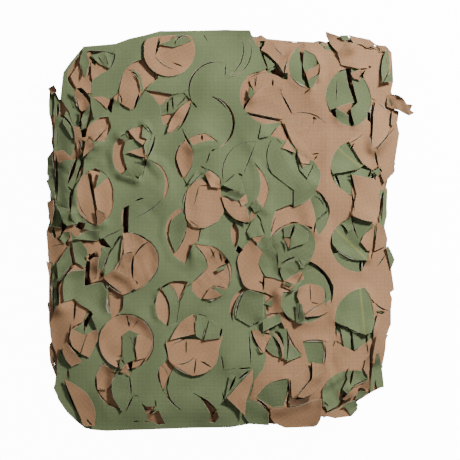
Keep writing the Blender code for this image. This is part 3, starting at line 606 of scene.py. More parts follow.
    brown(1.4, [(137, -128), (140, -127), (140, -160), (130, -158), (140, -148), (134, -140)], tone=-0.2),
    green(1.4, [(127, -165), (131, -161), (138, -163), (132, -169), (126, -170)], tone=-0.15),
    brown(2, [(113, -170), (122, -160), (131, -155), (126, -165), (116, -171)]),
    brown(1.6, [(94, -186), (100, -184), (112, -177), (118, -178), (122, -187), (105, -189)]),
    green(1.6, [(112, -178), (118, -173), (126, -171), (129, -176), (127, -180), (122, -187),
        (116, -178)], crumple=0.6),
    # Centre of the top layer.
    brown(2.4, [(-112, 93), (-104, 92), (-105, 62), (-108, 52), (-116, 60), (-120, 78)]),
    green(2.8, [(-107, 78, 0.05), (-104, 90), (-95, 91), (-88, 86), (-86, 74), (-85, 62), (-92, 50),
        (-103, 61, 0.05)], lift=0.4),
    green(2.8, [(-113, 93), (-104, 102), (-101, 91), (-105, 89)], lift=0.4, tone=-0.03),
    green(2.8, [(-110, 54), (-103, 61), (-94, 54), (-91, 48)], lift=0.4, tone=-0.03),
    brown(2.8, [(-102, 100), (-86, 107), (-88, 93), (-83, 91), (-87, 85), (-94, 90)], lift=0.4),
    brown(3, [(-102, 78), (-86, 83), (-85, 72)], lift=0.4),
    green(2.8, [(-87, 107), (-77, 98), (-79, 84), (-83, 72), (-86, 84), (-83, 91), (-88, 93)],
        crumple=0.4, lift=0.4),
    # Cloth that lies close under the top layer's narrow openings.
    brown(3.2, [(-87, 74), (-68, 68), (-58, 50), (-58, 38), (-67, 25), (-70, 38), (-70, 56), (-80, 66)],
        lift=0.4),
    brown(3.2, [(-46, 92), (-26, 101), (-8, 88), (-26, 84), (-38, 80)], lift=0.4),
    brown(3.2, [(22, 71), (43, 46), (38, 17), (22, 28), (28, 48)], lift=0.4),
    brown(3.2, [(-50, 26), (-64, 14), (-68, -4), (-60, -28), (-44, -38), (-34, -16), (-27, -8), (-26, 6),
        (-40, 12)], lift=0.4),
    brown(2, [(-143, 57), (-133, 4, 0.12), (-152, 18, 0.1), (-156, 40, 0.1)], lift=2),
    brown(1.6, [(-141, 60, 0.1), (-118, 52, 0.1), (-115, 25, 0.1), (-125, 3), (-131, 8), (-139, 56)]),
    green(2, [(-130, 59), (-122, 53), (-135, 41)], lift=2),
    # Its dark tone is painted shade for cloth that lies in shadow.
    brown(2, [(-134, 20), (-128, 19), (-124, 13), (-127, 5), (-133, 3)], tone=-0.4),
    # Lower part of the top layer.
    brown(2, [(-70, -59, 0.1), (-61, -69, 0.15), (-60, -83, 0.15), (-65, -96, 0.1), (-75, -84, 0.1),
        (-74, -70, 0.1)], lift=2),
    green(1.6, [(-70, -58), (-60, -54), (-53, -65, 0.1), (-50, -80), (-51, -95), (-62, -97),
        (-60, -82, -0.1), (-62, -70, -0.1)], lift=0.6),
    brown(2.4, [(-38, -12), (-18, -15, 0.15), (-2, -26, 0.15), (3, -40, 0.2), (-3, -62, 0.15),
        (-28, -71, 0.1), (-40, -60)], cuts=[(-20, -18, -15, -30, 0.1, 1.6), (-10, -22, -8, -32, 0, 1.4),
        (-6, -31, -2, -34, 0, 2)], crumple=0.4),
    green(2.4, [(-14, -39), (-2, -33), (-3, -37), (-12, -42)]),
    brown(1, [(-71, -136, 0.1), (-62, -130, 0.1), (-56, -136), (-62, -148), (-67, -161, 0.1)]),
]
TOP_LEAVES = [
    # Upper left corner and left edge.
    green(2, [(-146, 183, 0.05), (-141, 168, 0.05), (-145, 152, 0.05), (-151, 168, 0.05)], lift=3),
    brown(0.4, [(-138, 133), (-128, 134), (-119, 130), (-123, 121), (-130, 127)], lift=0.5),
    brown(0.8, [(-117, 132), (-112, 137), (-113, 129)]),
    green(1.6, [(-140, 135), (-131, 127), (-123, 119), (-136, 111), (-139, 122)], lift=2),
    green(2.6, [(-149, 111, 0.1), (-142, 122), (-140, 126), (-140, 118), (-143, 110), (-147, 102)],
        lift=4),
    # The rest of the left edge, downwards.
    green(1, [(-172, -8), (-167, -2), (-161, -2), (-161, -10), (-166, -14)], crumple=0.8),
    green(2.4, [(-156, -9), (-145, -1), (-129, 0), (-132, -11)], crumple=0.4),
    green(1.2, [(-166, -49, 0.1), (-158, -41), (-144, -40), (-145, -52), (-141, -55), (-128, -52),
        (-123, -63), (-124, -77), (-120, -90, 0.1), (-131, -104), (-142, -79, 0.1), (-156, -69),
        (-166, -72, 0.1)]),
    green(2, [(-107, -4, 0.05), (-107, -23, 0.1), (-114, -36, 0.1), (-126, -46), (-122, -26)], lift=2),
    green(2.6, [(-128, -16), (-122, -24), (-126, -43), (-132, -38)]),
    brown(1, [(-159, -99), (-146, -105), (-143, -104), (-150, -123), (-158, -117), (-161, -108)]),
    brown(1.6, [(-168, -121), (-164, -112), (-148, -132), (-159, -137), (-165, -129)]),
    brown(1.2, [(-149, -124), (-145, -110), (-142, -103), (-132, -99), (-132, -109), (-141, -128)],
        tone=-0.04),
    brown(1.6, [(-166, -150, 0.1), (-151, -158, 0.15), (-140, -169, 0.15), (-135, -186),
        (-136, -197, 0.05), (-147, -197, 0.1), (-150, -188), (-159, -168, 0.05)], lift=1.5, tone=-0.06),
    # Top middle.
    brown(1.4, [(-83, 192), (-70, 195), (-52, 196), (-40, 195, 0.2), (-35, 180, 0.41), (-61, 154, 0.41),
        (-87, 180, 0.2)], cuts=[(-70, 194, -75, 175, 0.05, 1.8), (-58, 168, -47, 164, 0, 1.4),
        (-56, 161, -76, 175, 0.2, 1)]),
    green(1.2, [(-71, 186), (-58, 191), (-53, 196), (-46, 197), (-38, 190), (-47, 186), (-56, 183)],
        cuts=[(-55, 184, -40, 191, 0.8, 2)]),
    brown(1.2, [(-39, 130, 0.22), (-63, 97, 0.26)], lift=2),
    # Upper right.
    # Its dark tone is painted shade for the curled tab, whose face lies in shadow.
    brown(0, [(158, 136), (173, 137), (178, 127), (184, 126), (182, 121), (186, 118), (180, 115),
        (171, 120), (158, 124)], roll=(166, 133, 60, 3.5, 120), crumple=1.6, height=94, tone=-0.3),
    # The middle, where the top layer ends.
    green(0.8, [(24, -11), (35, -6), (40, -12), (46, -22), (48, -37), (53, -51), (44, -48), (35, -46),
        (28, -33), (33, -22)], crumple=0.4, lift=0.6, tone=-0.03),
    green(0.8, [(54, 3), (65, 6), (61, -7), (54, -7)], tone=-0.2),
    brown(1.4, [(54, 109), (70, 108, 0.2), (81, 96, 0.2), (83, 82, 0.1), (77, 71), (68, 78), (62, 88)],
        crumple=0.4, lift=2),
    green(0.4, [(46, 93), (60, 88), (68, 78), (77, 71), (84, 69, 0.1), (91, 57, 0.15), (87, 42, 0.15),
        (80, 31, 0.1), (64, 23), (64, 40), (43, 56, 0.15), (37, 68, 0.1), (37, 78, 0.2)], lift=0.2,
        tone=0),
    green(0.8, [(69, 67), (83, 66), (78, 51), (70, 60)], lift=0.4),
    brown(1.2, [(52, 82), (58, 91), (66, 77)]),
    brown(1.6, [(68, 76), (76, 78), (80, 68), (73, 62)], crumple=1),
    green(0.8, [(31, 106), (29, 92), (40, 94), (47, 102), (52, 108)], lift=0.6),
    green(2, [(60, -19), (61, -8), (67, 6), (78, -2, 0.1), (78, -11), (74, -14)], lift=2, tone=0.06),
    brown(1.2, [(54, -8), (60, -9), (59, -19)]),
    green(1.8, [(51, -36), (66, -28), (72, -37), (71, -41), (54, -51), (50, -44)], crumple=0.4),
    green(1.4, [(67, -28), (76, -32), (74, -38), (71, -38)], crumple=0.8),
    brown(1.4, [(54, -51), (71, -41), (74, -46), (74, -50), (66, -56), (62, -61), (53, -56)],
        crumple=0.8),
    green(1.2, [(53, -53), (61, -57), (64, -54), (58, -52)], crumple=0.8),
    green(1.6, [(60, -62), (66, -59), (74, -50), (69, -50), (64, -56)], crumple=0.6, lift=2),
    brown(1.6, [(69, -58, 0.1), (80, -54, 0.1), (92, -57, 0.1), (95, -64, 0.05), (94, -72), (85, -79),
        (75, -84, 0.05), (70, -74), (67, -66)]),
    brown(1.4, [(75, -85), (91, -75), (101, -70, 0.1), (100, -80, 0.1), (90, -86), (76, -87)], tone=0.05),
    green(1.2, [(66, -92), (66, -74), (68, -73), (72, -74), (75, -90), (70, -94)], crumple=0.6,
        tone=-0.12),
    green(1.4, [(34, -74), (43, -69), (42, -78)]),
    green(2, [(33, -90), (50, -84), (52, -92), (33, -102)], lift=2),
    brown(1.4, [(23, -9), (33, -23), (28, -34), (33, -45), (34, -62), (25, -61, 0.15), (16, -57, 0.2),
        (7, -37, 0.1), (9, -25, 0.15)], lift=2),
    green(1.4, [(24, 14), (30, 10), (34, -5), (20, -8), (17, -2)], crumple=0.4),
    brown(1.4, [(22, -8), (33, -6), (28, -14)]),
    green(1, [(20, 24), (26, 31), (32, 21), (24, 17)], tone=-0.22),
    brown(1, [(21, 19), (26, 14), (20, 8)], tone=-0.08),
    green(1, [(20, -59), (33, -64), (34, -88), (20, -96), (6, -88, 0.2), (9, -70, 0.2)]),
    brown(1.2, [(22, -100), (30, -101), (36, -112), (35, -122), (31, -123), (25, -112)], crumple=0.5),
    # Lower right.
    brown(2.6, [(39, -184), (41, -179), (63, -178, -0.05), (82, -171), (92, -169), (92, -184, 0.1),
        (89, -194, 0.2), (84, -198), (56, -199, 0.1), (44, -193, 0.1)], lift=2, tone=-0.08),
    green(1.6, [(16, -172), (26, -171), (38, -182), (39, -196), (20, -195), (14, -186)], lift=2,
        tone=-0.1),
    # Centre of the top layer.
    brown(0.6, [(-43, 91, 0.4), (-47, 53, 0.46)], lift=0.4),
    # Cloth that lies close under the top layer's narrow openings.
    green(1, [(-48, 19), (-57, 12, 0.1), (-61, 0, 0.05), (-61, -8), (-55, -23), (-48, -13), (-43, 1),
        (-44, 12)], lift=0.6),
    brown(1, [(-30, 52, 0.1), (-42, 41, 0.2), (-46, 26, 0.15), (-43, 10, 0.1), (-36, 3, 0.1),
        (-26, 2, 0.05), (-12, 9), (-6, 18), (-9, 35), (-9, 42), (-20, 44)], lift=0.6, tone=0),
    brown(2, [(-25, 56), (-20, 60), (-9, 50), (-10, 42), (-19, 43)], crumple=1.2, lift=2),
    brown(1.8, [(-9, 34, 0.1), (-4, 21, 0.1), (5, 11, 0.1), (20, 8), (16, 23), (9, 28)], lift=2),
    brown(1.4, [(9, 30), (16, 36), (18, 28), (12, 24)], crumple=1),
    green(2.6, [(-7, 45), (8, 57), (16, 36), (4, 40)], lift=3),
    green(2.4, [(-6, 36), (3, 40), (15, 35), (5, 31)], crumple=0.5),
    green(1.4, [(-36, 48), (-26, 54), (-26, 62), (-34, 58), (-42, 46)], crumple=0.6),
    # Lower part of the top layer.
    brown(2.4, [(-107, -3), (-97, -4, 0.1), (-86, -9, 0.1), (-76, -17, 0.1), (-72, -28, 0.1),
        (-74, -41, 0.1), (-83, -52, 0.1), (-95, -60), (-101, -50), (-117, -41), (-110, -30)], sunk=True,
        crumple=0.4, lift=0.6),
    brown(1, [(-107, -3), (-97, -3), (-95, -20), (-106, -24)], crumple=1, tone=-0.05),
    brown(1, [(-107, -25), (-97, -22), (-100, -35), (-100, -49), (-114, -42), (-110, -34)], crumple=0.8,
        tone=-0.16),
    brown(1.2, [(-128, -46), (-124, -46), (-117, -40, 0.1), (-106, -44, 0.05), (-94, -52),
        (-94, -57, 0.1), (-107, -65, 0.1), (-120, -57, 0.1)]),
    brown(1, [(-133, -27), (-131, -27), (-133, -44), (-139, -52), (-141, -46), (-140, -30)], tone=-0.1),
    green(1, [(-19, -56), (-3, -60), (-8, -66)]),
    brown(1.4, [(-27, -68), (-20, -57), (-8, -65), (-18, -71)], tone=-0.05),
    brown(2.4, disc(-104, -112, 27), sunk=True, cuts=[(-104, -84, -100, -98, 0.05, 1.4)]),
    green(0.8, [(-108, -106), (-101, -100), (-91, -104), (-95, -112), (-95, -130), (-104, -134, 0.05),
        (-108, -126)], lift=0.6),
    green(1, [(-111, -128), (-108, -127), (-104, -134), (-110, -140)]),
    brown(1, [(-93, -105, -0.05), (-95, -118, -0.05), (-93, -130), (-85, -128, 0.1), (-78, -112, 0.2)]),
    brown(1.4, [(-65, -113, 0.05), (-62, -129, 0.1), (-53, -139, 0.1), (-37, -146, 0.1), (-23, -142, 0.1),
        (-14, -134, 0.1), (-11, -119), (-7, -106), (-30, -109), (-60, -110)],
        cuts=[(-44, -110, -44, -124), (-34, -129, -36, -145, 0, 1.6), (-30, -131, -18, -138),
        (-35, -126, -55, -134, 0.3, 1)]),
    brown(1.8, [(-60, -110), (-53, -97, 0.15), (-36, -84, 0.1), (-35, -104)], lift=2),
    green(0.8, [(-35, -84, 0.1), (-21, -89), (-27, -110), (-34, -106)]),
    green(1.2, [(-20, -89, 0.15), (-7, -104), (-9, -108), (-26, -110)]),
    green(0.8, [(-118, -151), (-113, -144), (-101, -146), (-98, -165, 0.1), (-108, -183),
        (-117, -168, 0.1)], lift=1, tone=0.03),
    brown(0.6, [(-134, -146, 0.1), (-127, -134), (-115, -142), (-119, -154), (-124, -161), (-133, -160)],
        lift=0.6, tone=-0.12),
    brown(1.2, [(-110, -142), (-104, -135), (-100, -146)]),
    green(1.6, [(-5, -168), (0, -146), (12, -140), (22, -139), (6, -156)], crumple=0.5),
    brown(2.4, [(-3, -168), (23, -139), (23, -150), (16, -172), (15, -186)], lift=3),
]

# Soft folds of the layers: x and y of both ends, the height (below 0 for a trough), and the width.
SECOND_CREASES = [
    (98, 110, 96, 20, 1.6, 7), (100, -10, 104, -110, 1.4, 8), (128, 160, 140, 130, -1.6, 5),
    (150, 130, 146, 90, 1.4, 6), (70, 150, 90, 120, 1.2, 6), (60, -120, 100, -110, 1.4, 7),
    (96, -120, 110, -150, -1.6, 5), (40, -150, 90, -165, 1.4, 6), (90, 62, 70, 20, 1.2, 7),
]
TOP_CREASES = [
    (-133, 63, -126, 72, 1.5, 4), (-150, 20, -158, -4, -1.5, 5), (-90, 30, -70, 8, -1.2, 5),
    (-84, 50, -60, 30, 1.2, 6), (-60, 120, -90, 100, 1.4, 7), (-20, 60, -40, 40, -1.6, 4),
    (10, 100, 30, 70, 1.4, 6), (-100, -80, -70, -100, 1.4, 6), (-30, -80, 0, -70, -1.4, 5),
    (-140, -150, -120, -190, 1.2, 6), (0, -120, -4, -150, 1.4, 6), (-60, -165, -20, -150, -1.2, 6),
]

# ---- Outlines ----

CURVE_STEP, STRAIGHT_STEP = 2.4, 3.2
LEAST_BOW = 0.01  # of a stretch that isn't straight
NO_LENGTH = 1e-6
TURNS_BACK = -0.4  # cosine of the turn at a slit's end, or less


def stretch(start, end, bow, side):
    """Points from start up to, but not with, end. side is 1 where outwards is left of the way, else -1."""
    chord = end - start
    length = hypot(*chord)
    if abs(bow) < LEAST_BOW:
        count = max(1, ceil(length / STRAIGHT_STEP))
        return [start + chord * i / count for i in range(count)]
    turn = 4 * atan(bow)
    radius = length / 2 / sin(turn / 2)
    count = max(2, ceil(abs(radius * turn) / CURVE_STEP))
    along = chord / length
    out = side * np.array((-along[1], along[0]))
    middle = (start + end) / 2
    points = []
    for i in range(count):
        angle = turn * (i / count - 0.5)
        points.append(middle + along * radius * sin(angle) + out * radius * (cos(angle) - cos(turn / 2)))
    return points


def ring(cut):
    """The closed ring of points of an outline or a slit."""
    outline = cut if isinstance(cut, list) else slit(*cut)
    corners = [np.array(row[:2], float) for row in outline]
    after = corners[1:] + corners[:1]
    twice_area = sum(a[0] * b[1] - b[0] * a[1] for a, b in zip(corners, after))
    side = -1 if twice_area > 0 else 1
    points = []
    for row, start, end in zip(outline, corners, after):
        points += stretch(start, end, row[2] if len(row) > 2 else 0.0, side)
    return np.array(points)


def unit_ways(points):
    """The way along a closed ring at each of its points."""
    along = np.roll(points, -1, axis=0) - np.roll(points, 1, axis=0)
    return along / np.maximum(np.hypot(*along.T), NO_LENGTH)[:, None]


def grown(points, by):
    """A closed ring of points moved outwards by this much."""
    along = unit_ways(points)
    x, y = points.T
    side = 1 if (x * np.roll(y, -1) - np.roll(x, -1) * y).sum() > 0 else -1
    return points + side * by * np.stack((along[:, 1], -along[:, 0]), axis=1)


def sharp_ends(rings):
    """Points where a ring turns back on itself, as at the ends of a slit."""
    ends = []
    for points in rings:
        back, ahead = points - np.roll(points, 1, axis=0), np.roll(points, -1, axis=0) - points
        lengths = np.maximum(np.hypot(*back.T) * np.hypot(*ahead.T), NO_LENGTH)
        ends.append(points[(back * ahead).sum(axis=1) / lengths < TURNS_BACK])
    return np.concatenate(ends)


def in_ring(points, x, y):
    found = np.zeros(x.shape, bool)
    for (x0, y0), (x1, y1) in zip(points, np.roll(points, -1, axis=0)):
        if y0 != y1:
            found ^= ((y0 > y) != (y1 > y)) & (x < (x1 - x0) * (y - y0) / (y1 - y0) + x0)
    return found


@cache
def gap_rings():
    return [ring(gap) for gap in GAPS]


def gaps_over(outline):
    """The gaps that reach into an outline's box."""
    low, high = outline.min(axis=0), outline.max(axis=0)
    return [gap for gap in gap_rings() if (gap.max(axis=0) > low).all() and (gap.min(axis=0) < high).all()]


def in_cloth(rings, x, y):
    """Whether each place is on the cloth: in its outline and in none of its cuts."""
    found = in_ring(rings[0], x, y)
    for points in rings[1:]:
        low, high = points.min(axis=0), points.max(axis=0)
        near = found & (x >= low[0]) & (x <= high[0]) & (y >= low[1]) & (y <= high[1])
        found[near] = ~in_ring(points, x[near], y[near])
    return found


# ---- The pile that the layers and leaves are laid on ----

GRID_REACH = 225
WINDOW_MARGIN = 6
CLEAR = 0.35  # the least gap to what lies below
SPREAD = 3  # how far from a step the cloth starts to rise over it
EASE = 1.5  # how softly cloth that is raised clear of a step comes down again
LEAF_STIFFNESS, LAYER_STIFFNESS = 3.0, 5.0
LAYER_LOFT = 3.4
SUNK_GAP = 1.1  # round a leaf that lies in the hole that it was cut from
LEAF_LOFT_SHARE, LEAF_LIFT_SHARE = 1.25, 1.4  # of what the leaf table says
NO_WEIGHT = 1e-4
WAVES, FOLDS = 5, 3  # that run through each other in one piece of cloth


def shifted(field, axis, reach):
    """The field moved along one axis by -reach to reach places, one after the other."""
    padded = np.pad(field, [(reach, reach) if a == axis else (0, 0) for a in (0, 1)], mode="edge")
    size = field.shape[axis]
    return [np.take(padded, range(i, i + size), axis=axis) for i in range(2 * reach + 1)]


def widened(field, reach):
    """The highest value within reach of each place."""
    for axis in (0, 1):
        field = np.max(shifted(field, axis, reach), axis=0)
    return field


def blurred(field, sigma):
    reach = ceil(2.5 * sigma)
    weights = np.exp(-0.5 * (np.arange(-reach, reach + 1) / sigma) ** 2)
    weights /= weights.sum()
    for axis in (0, 1):
        field = sum(weight * moved for weight, moved in zip(weights, shifted(field, axis, reach)))
    return field


def ripple(rng, x, y, length, height):
    """Soft uneven waves of about this length and height."""
    total = 0.0
    for _ in range(WAVES):
        way, start = rng.uniform(0, 2 * pi, 2)
        turns = 2 * pi / (length * rng.uniform(0.7, 1.5))
        total = total + np.sin(turns * (x * cos(way) + y * sin(way)) + start)
    return total * height / sqrt(WAVES)


def sharp_folds(rng, x, y, length, height):
    """Sharp ridges that cross each other, as crumpled cloth has."""
    total = 0.0
    for _ in range(FOLDS):
        way, start = rng.uniform(0, 2 * pi, 2)
        turns = pi / (length * rng.uniform(0.7, 1.4))
        total = total + 1 - 2 * np.abs(np.sin(turns * (x * cos(way) + y * sin(way)) + start))
    return total * height / 2


def inside_by(x, y):
    """How far inside the pack's plan a place is, and below 0 outside it."""
    past_x = np.abs(x - PACK_MIDDLE[0]) - (PACK_HALF[0] - PACK_CORNER)
    past_y = np.abs(y - PACK_MIDDLE[1]) - (PACK_HALF[1] - PACK_CORNER)
    outside = np.hypot(np.maximum(past_x, 0), np.maximum(past_y, 0))
    return PACK_CORNER - outside - np.minimum(np.maximum(past_x, past_y), 0)


def pack_top(x, y):
    """Height of the pack's smooth top."""
    inside = inside_by(x, y)
    share = np.clip(1 - inside / SHOULDER_REACH, 0, 1)
    drop = SHOULDER_DROP * (1 - np.sqrt(1 - SHOULDER_FULLNESS * share**2))
    drop = drop + PAST_THE_EDGE * np.maximum(-inside, 0)
    sag = EDGE_SAG * ((np.abs(x - PACK_MIDDLE[0]) / PACK_HALF[0]) ** 4 + (np.abs(y) / PACK_HALF[1]) ** 4) / 2
    humps = HUMP_HEIGHT * np.sin(2 * pi * x / HUMP_LENGTH + 1.0) * np.cos(2 * pi * y / HUMP_LENGTH - 0.4)
    return PACK_HEIGHT - TOP_ROOM - drop - sag + humps


class Pile:
    """How high the pile stands at each millimetre of its plan."""

    def __init__(self):
        steps = np.arange(-GRID_REACH, GRID_REACH + 1.0)
        self.x, self.y = np.meshgrid(steps, steps)
        self.height = pack_top(self.x, self.y) - STACK
        self.layers = self.height.copy()

    def lay(self, rings, loft, stiffness, shape, thickness, whole=False):
        """Lays cloth on the pile. Gives its height as a function of places on it.

        A whole layer follows the layers below it, and the leaves between them only lift it where they must.
        """
        first = np.floor(rings[0].min(axis=0)).astype(int) + GRID_REACH - WINDOW_MARGIN
        last = np.ceil(rings[0].max(axis=0)).astype(int) + GRID_REACH + WINDOW_MARGIN
        first, last = first.clip(0, 2 * GRID_REACH), last.clip(0, 2 * GRID_REACH)
        window = (slice(first[1], last[1] + 1), slice(first[0], last[0] + 1))
        x, y, under = self.x[window], self.y[window], self.height[window]
        covered = in_cloth(rings, x, y)
        about = widened(covered.astype(float), 1)
        weight = blurred(about, stiffness) + NO_WEIGHT
        raised = widened(self.layers[window] if whole else under, SPREAD)
        rest = (blurred(raised * about, stiffness) + NO_WEIGHT * raised) / weight
        rest = rest + loft + shape(x, y)
        short = np.where(covered, under + CLEAR - rest, 0).clip(0)
        rest = rest + blurred(widened(short, 2), EASE)
        rest = np.maximum(rest, np.where(about > 0, under + CLEAR, rest))
        self.height[window] = np.where(covered, np.maximum(under, rest + thickness), under)
        if whole:
            self.layers[window] = np.where(covered, rest + thickness, self.layers[window])

        def height_at(px, py):
            col = np.clip(px + GRID_REACH - first[0], 0, x.shape[1] - 1.001)
            row = np.clip(py + GRID_REACH - first[1], 0, x.shape[0] - 1.001)
            c, r = col.astype(int), row.astype(int)
            u, v = col - c, row - r
            low = rest[r, c] * (1 - u) + rest[r, c + 1] * u
            high = rest[r + 1, c] * (1 - u) + rest[r + 1, c + 1] * u
            return low * (1 - v) + high * v

        return height_at


# ---- Cloth meshes ----

RIM_WIDTH = 0.9  # of the frayed rim along a cut
UNFRAYED_REACH = 5.0  # how far from a slit's end the cut starts to fray
NO_STRIPE = 99.0  # a stripe's distance where there is none
MERGE_REACH = 1e-4
ON_CUT = 0.05  # a point this near a cut lies on it
UNEVEN = 0.18  # how far the mesh's points stray, as a share of their spacing
RIM_KEPT, FIELD_KEPT = 0.85, 0.62  # how far points keep from a cut: shares of the rim and of their spacing
SHARP_ANGLE = radians(50)


def closed_line(start, count):
    """The edges of a closed line through this many points that follow each other from start."""
    return [(start + i, start + (i + 1) % count) for i in range(count)]


def cut_mesh(rings, spacing, rng):
    """Triangles of one cut of cloth, in plan: its points, how frayed each is, and its faces."""
    border = np.concatenate(rings)
    tree = KDTree(len(border))
    edges = []
    for points in rings:
        edges += closed_line(len(edges), len(points))
    for i, point in enumerate(border):
        tree.insert((*point, 0), i)
    tree.balance()
    inner = []
    for points in rings:
        along = unit_ways(points)
        for way in (1, -1):
            inner.append(points + way * RIM_WIDTH * np.stack((-along[:, 1], along[:, 0]), axis=1))
    inner = np.concatenate(inner)
    low, high = border.min(axis=0), border.max(axis=0)
    rows = np.arange(low[1], high[1], spacing * sqrt(3) / 2)
    columns = np.arange(low[0], high[0], spacing)
    field = np.array([(x + (i % 2) * spacing / 2, y) for i, y in enumerate(rows) for x in columns])
    field = field.reshape(-1, 2)
    field = field + rng.uniform(-UNEVEN, UNEVEN, field.shape) * spacing
    chosen = [border]
    for points, least in ((inner, RIM_KEPT * RIM_WIDTH), (field, FIELD_KEPT * spacing + RIM_WIDTH / 2)):
        points = points[in_cloth(rings, points[:, 0], points[:, 1])]
        far = [tree.find((*point, 0))[2] >= least for point in points]
        chosen.append(points[np.array(far, bool)])
    points = [Vector(point) for point in np.concatenate(chosen)]
    verts, _, faces, *_ = delaunay_2d_cdt(points, edges, [], 0, MERGE_REACH)
    plan = np.array([vert[:] for vert in verts])
    faces = np.array([face for face in faces if len(face) == 3])
    middles = plan[faces].mean(axis=1)
    faces = faces[in_cloth(rings, middles[:, 0], middles[:, 1])]
    used, faces = np.unique(faces, return_inverse=True)
    plan, faces = plan[used], faces.reshape(-1, 3)
    frayed = np.array([float(tree.find((*point, 0))[2] < ON_CUT) for point in plan])
    for end in sharp_ends(rings):
        frayed *= np.clip(np.hypot(*(plan - end).T) / UNFRAYED_REACH, 0, 1)
    return plan, frayed, faces


class Cloth:
    """Gathers cuts of cloth for one object: each one's face, tone and painted shade, and weave's turn."""

    def __init__(self):
        self.parts = []
        self.count = 0

    def add(self, points, faces, frayed, brown, tone, plan, stripe=None):
        points = np.asarray(points, float)
        faces = np.asarray(faces)
        distance = np.full(len(points), NO_STRIPE)
        if stripe:
            start, end = np.array(stripe[:2]), np.array(stripe[2:])
            across = np.array((start[1] - end[1], end[0] - start[0])) / hypot(*(end - start))
            distance = (points[:, :2] - start) @ across
        self.parts.append({
            "points": points, "faces": faces + self.count, "plan": plan,
            "brown": np.full(len(faces), brown), "tone": np.full(len(points), tone),
            "rim": np.asarray(frayed, float), "stripe": distance,
        })
        self.count += len(points)

    def make(self, name):
        """The finished object: both faces and the cut edges between them."""
        points = np.concatenate([part["points"] for part in self.parts]) * MM
        faces = [tuple(face) for part in self.parts for face in part["faces"].tolist()]
        mesh = bpy.data.meshes.new(name)
        mesh.from_pydata(points.tolist(), [], faces)
        for key in ("rim", "tone", "stripe"):
            values = np.concatenate([part[key] for part in self.parts])
            mesh.attributes.new(key, "FLOAT", "POINT").data.foreach_set("value", values.astype(np.float32))
        brown = np.concatenate([part["brown"] for part in self.parts])
        mesh.attributes.new("brown", "FLOAT", "FACE").data.foreach_set("value", brown.astype(np.float32))
        plan = np.concatenate([part["plan"] for part in self.parts]) * MM
        corners = np.empty(len(mesh.loops), np.int32)
        mesh.loops.foreach_get("vertex_index", corners)
        mesh.uv_layers.new(name="weave").data.foreach_set("uv", plan[corners].astype(np.float32).ravel())
        return thick_cloth(name, mesh)


def linked(name, data):
    """A new object in the scene, with this mesh, light or camera."""
    obj = bpy.data.objects.new(name, data)
    bpy.context.scene.collection.objects.link(obj)
    return obj


def thick_cloth(name, mesh):
    """Gives open cloth its thickness. The far side gets the other colour, and cut edges are half of each."""
    draft = linked(name + "_draft", mesh)
    material = cloth_material()
    far_side, cut_edge = 1, 2
    for _ in range(3):
        mesh.materials.append(material)
    solid = draft.modifiers.new("thickness", "SOLIDIFY")
    solid.thickness = bpy.context.scene.net_sizes.thickness
    solid.offset = -1
    solid.material_offset = far_side
    solid.material_offset_rim = cut_edge
    graph = bpy.context.evaluated_depsgraph_get()
    made = bpy.data.meshes.new_from_object(draft.evaluated_get(graph))
    bpy.data.objects.remove(draft)
    bpy.data.meshes.remove(mesh)
    made.name = name
    count = len(made.polygons)
    index = np.empty(count, np.int32)
    made.polygons.foreach_get("material_index", index)
    brown = np.empty(count, np.float32)
    made.attributes["brown"].data.foreach_get("value", brown)
    brown = np.where(index == far_side, 1 - brown, np.where(index == cut_edge, 0.5, brown)).astype(np.float32)
    made.attributes["brown"].data.foreach_set("value", brown)
    made.polygons.foreach_set("material_index", np.zeros(count, np.int32))
    made.materials.clear()
    made.materials.append(material)
    made.shade_smooth()
    made.set_sharp_from_angle(angle=SHARP_ANGLE)
    return linked(name, made)


def turned(plan, turn):
    return plan @ np.array(((cos(turn), sin(turn)), (-sin(turn), cos(turn))))


def rolled(points, roll):
    """Curls the end of a leaf up and back over itself."""
    x, y, way, radius, most = roll
    ahead = np.array((cos(radians(way)), sin(radians(way))))
    past = np.maximum((points[:, :2] - (x, y)) @ ahead, 0)
    angle = np.minimum(past / radius, radians(most))
    beyond = past - angle * radius
    along = radius * np.sin(angle) + beyond * np.cos(angle)
    moved = points.copy()
    moved[:, :2] += (along - past)[:, None] * ahead
    moved[:, 2] += radius * (1 - np.cos(angle)) + beyond * np.sin(angle)
    return moved


# ---- Node helpers and the cloth's material ----


class Socket:
    """An output of a node tree, so that sums on it add its Math nodes."""

    def __init__(self, tree, output):
        self.tree = tree
        self.output = output

    def math(self, operation, *others, clamp=False):
        settings = {"operation": operation, "use_clamp": clamp}
        return self.tree.node("ShaderNodeMath", settings, dict(enumerate((self, *others))))

    def __add__(self, other):
        return self.math("ADD", other)

    def __sub__(self, other):
        return self.math("SUBTRACT", other)

    def __mul__(self, other):
        return self.math("MULTIPLY", other)

    def __rsub__(self, other):
        return self.tree.node("ShaderNodeMath", {"operation": "SUBTRACT"}, {0: other, 1: self})

    __radd__ = __add__
    __rmul__ = __mul__

    def clamped(self):
        return self.math("ADD", 0.0, clamp=True)


class Tree:
    """A node tree with one method that adds its nodes."""

    def __init__(self, tree):
        self.tree = tree

    def node(self, kind, settings=None, inputs=None, output=0):
        """Adds a node: its settings first, and then the values or links of its sockets."""
        made = self.tree.nodes.new(kind)
        for name, value in (settings or {}).items():
            setattr(made, name, value)
        for name, value in (inputs or {}).items():
            if isinstance(value, Socket):
                self.tree.links.new(value.output, made.inputs[name])
            else:
                made.inputs[name].default_value = value
        return Socket(self, made.outputs[output])

    def mix(self, factor, first, second, blend="MIX"):
        """Mixes two colours, each a socket or the red, green and blue of one."""
        first, second = (value if isinstance(value, Socket) else (*value, 1.0) for value in (first, second))
        settings = {"data_type": "RGBA", "blend_type": blend}
        return self.node("ShaderNodeMix", settings, {0: factor, 6: first, 7: second}, output=2)

    def noise(self, place, scale, detail):
        inputs = {"Vector": place, "Scale": scale, "Detail": detail}
        return self.node("ShaderNodeTexNoise", inputs=inputs, output="Fac")


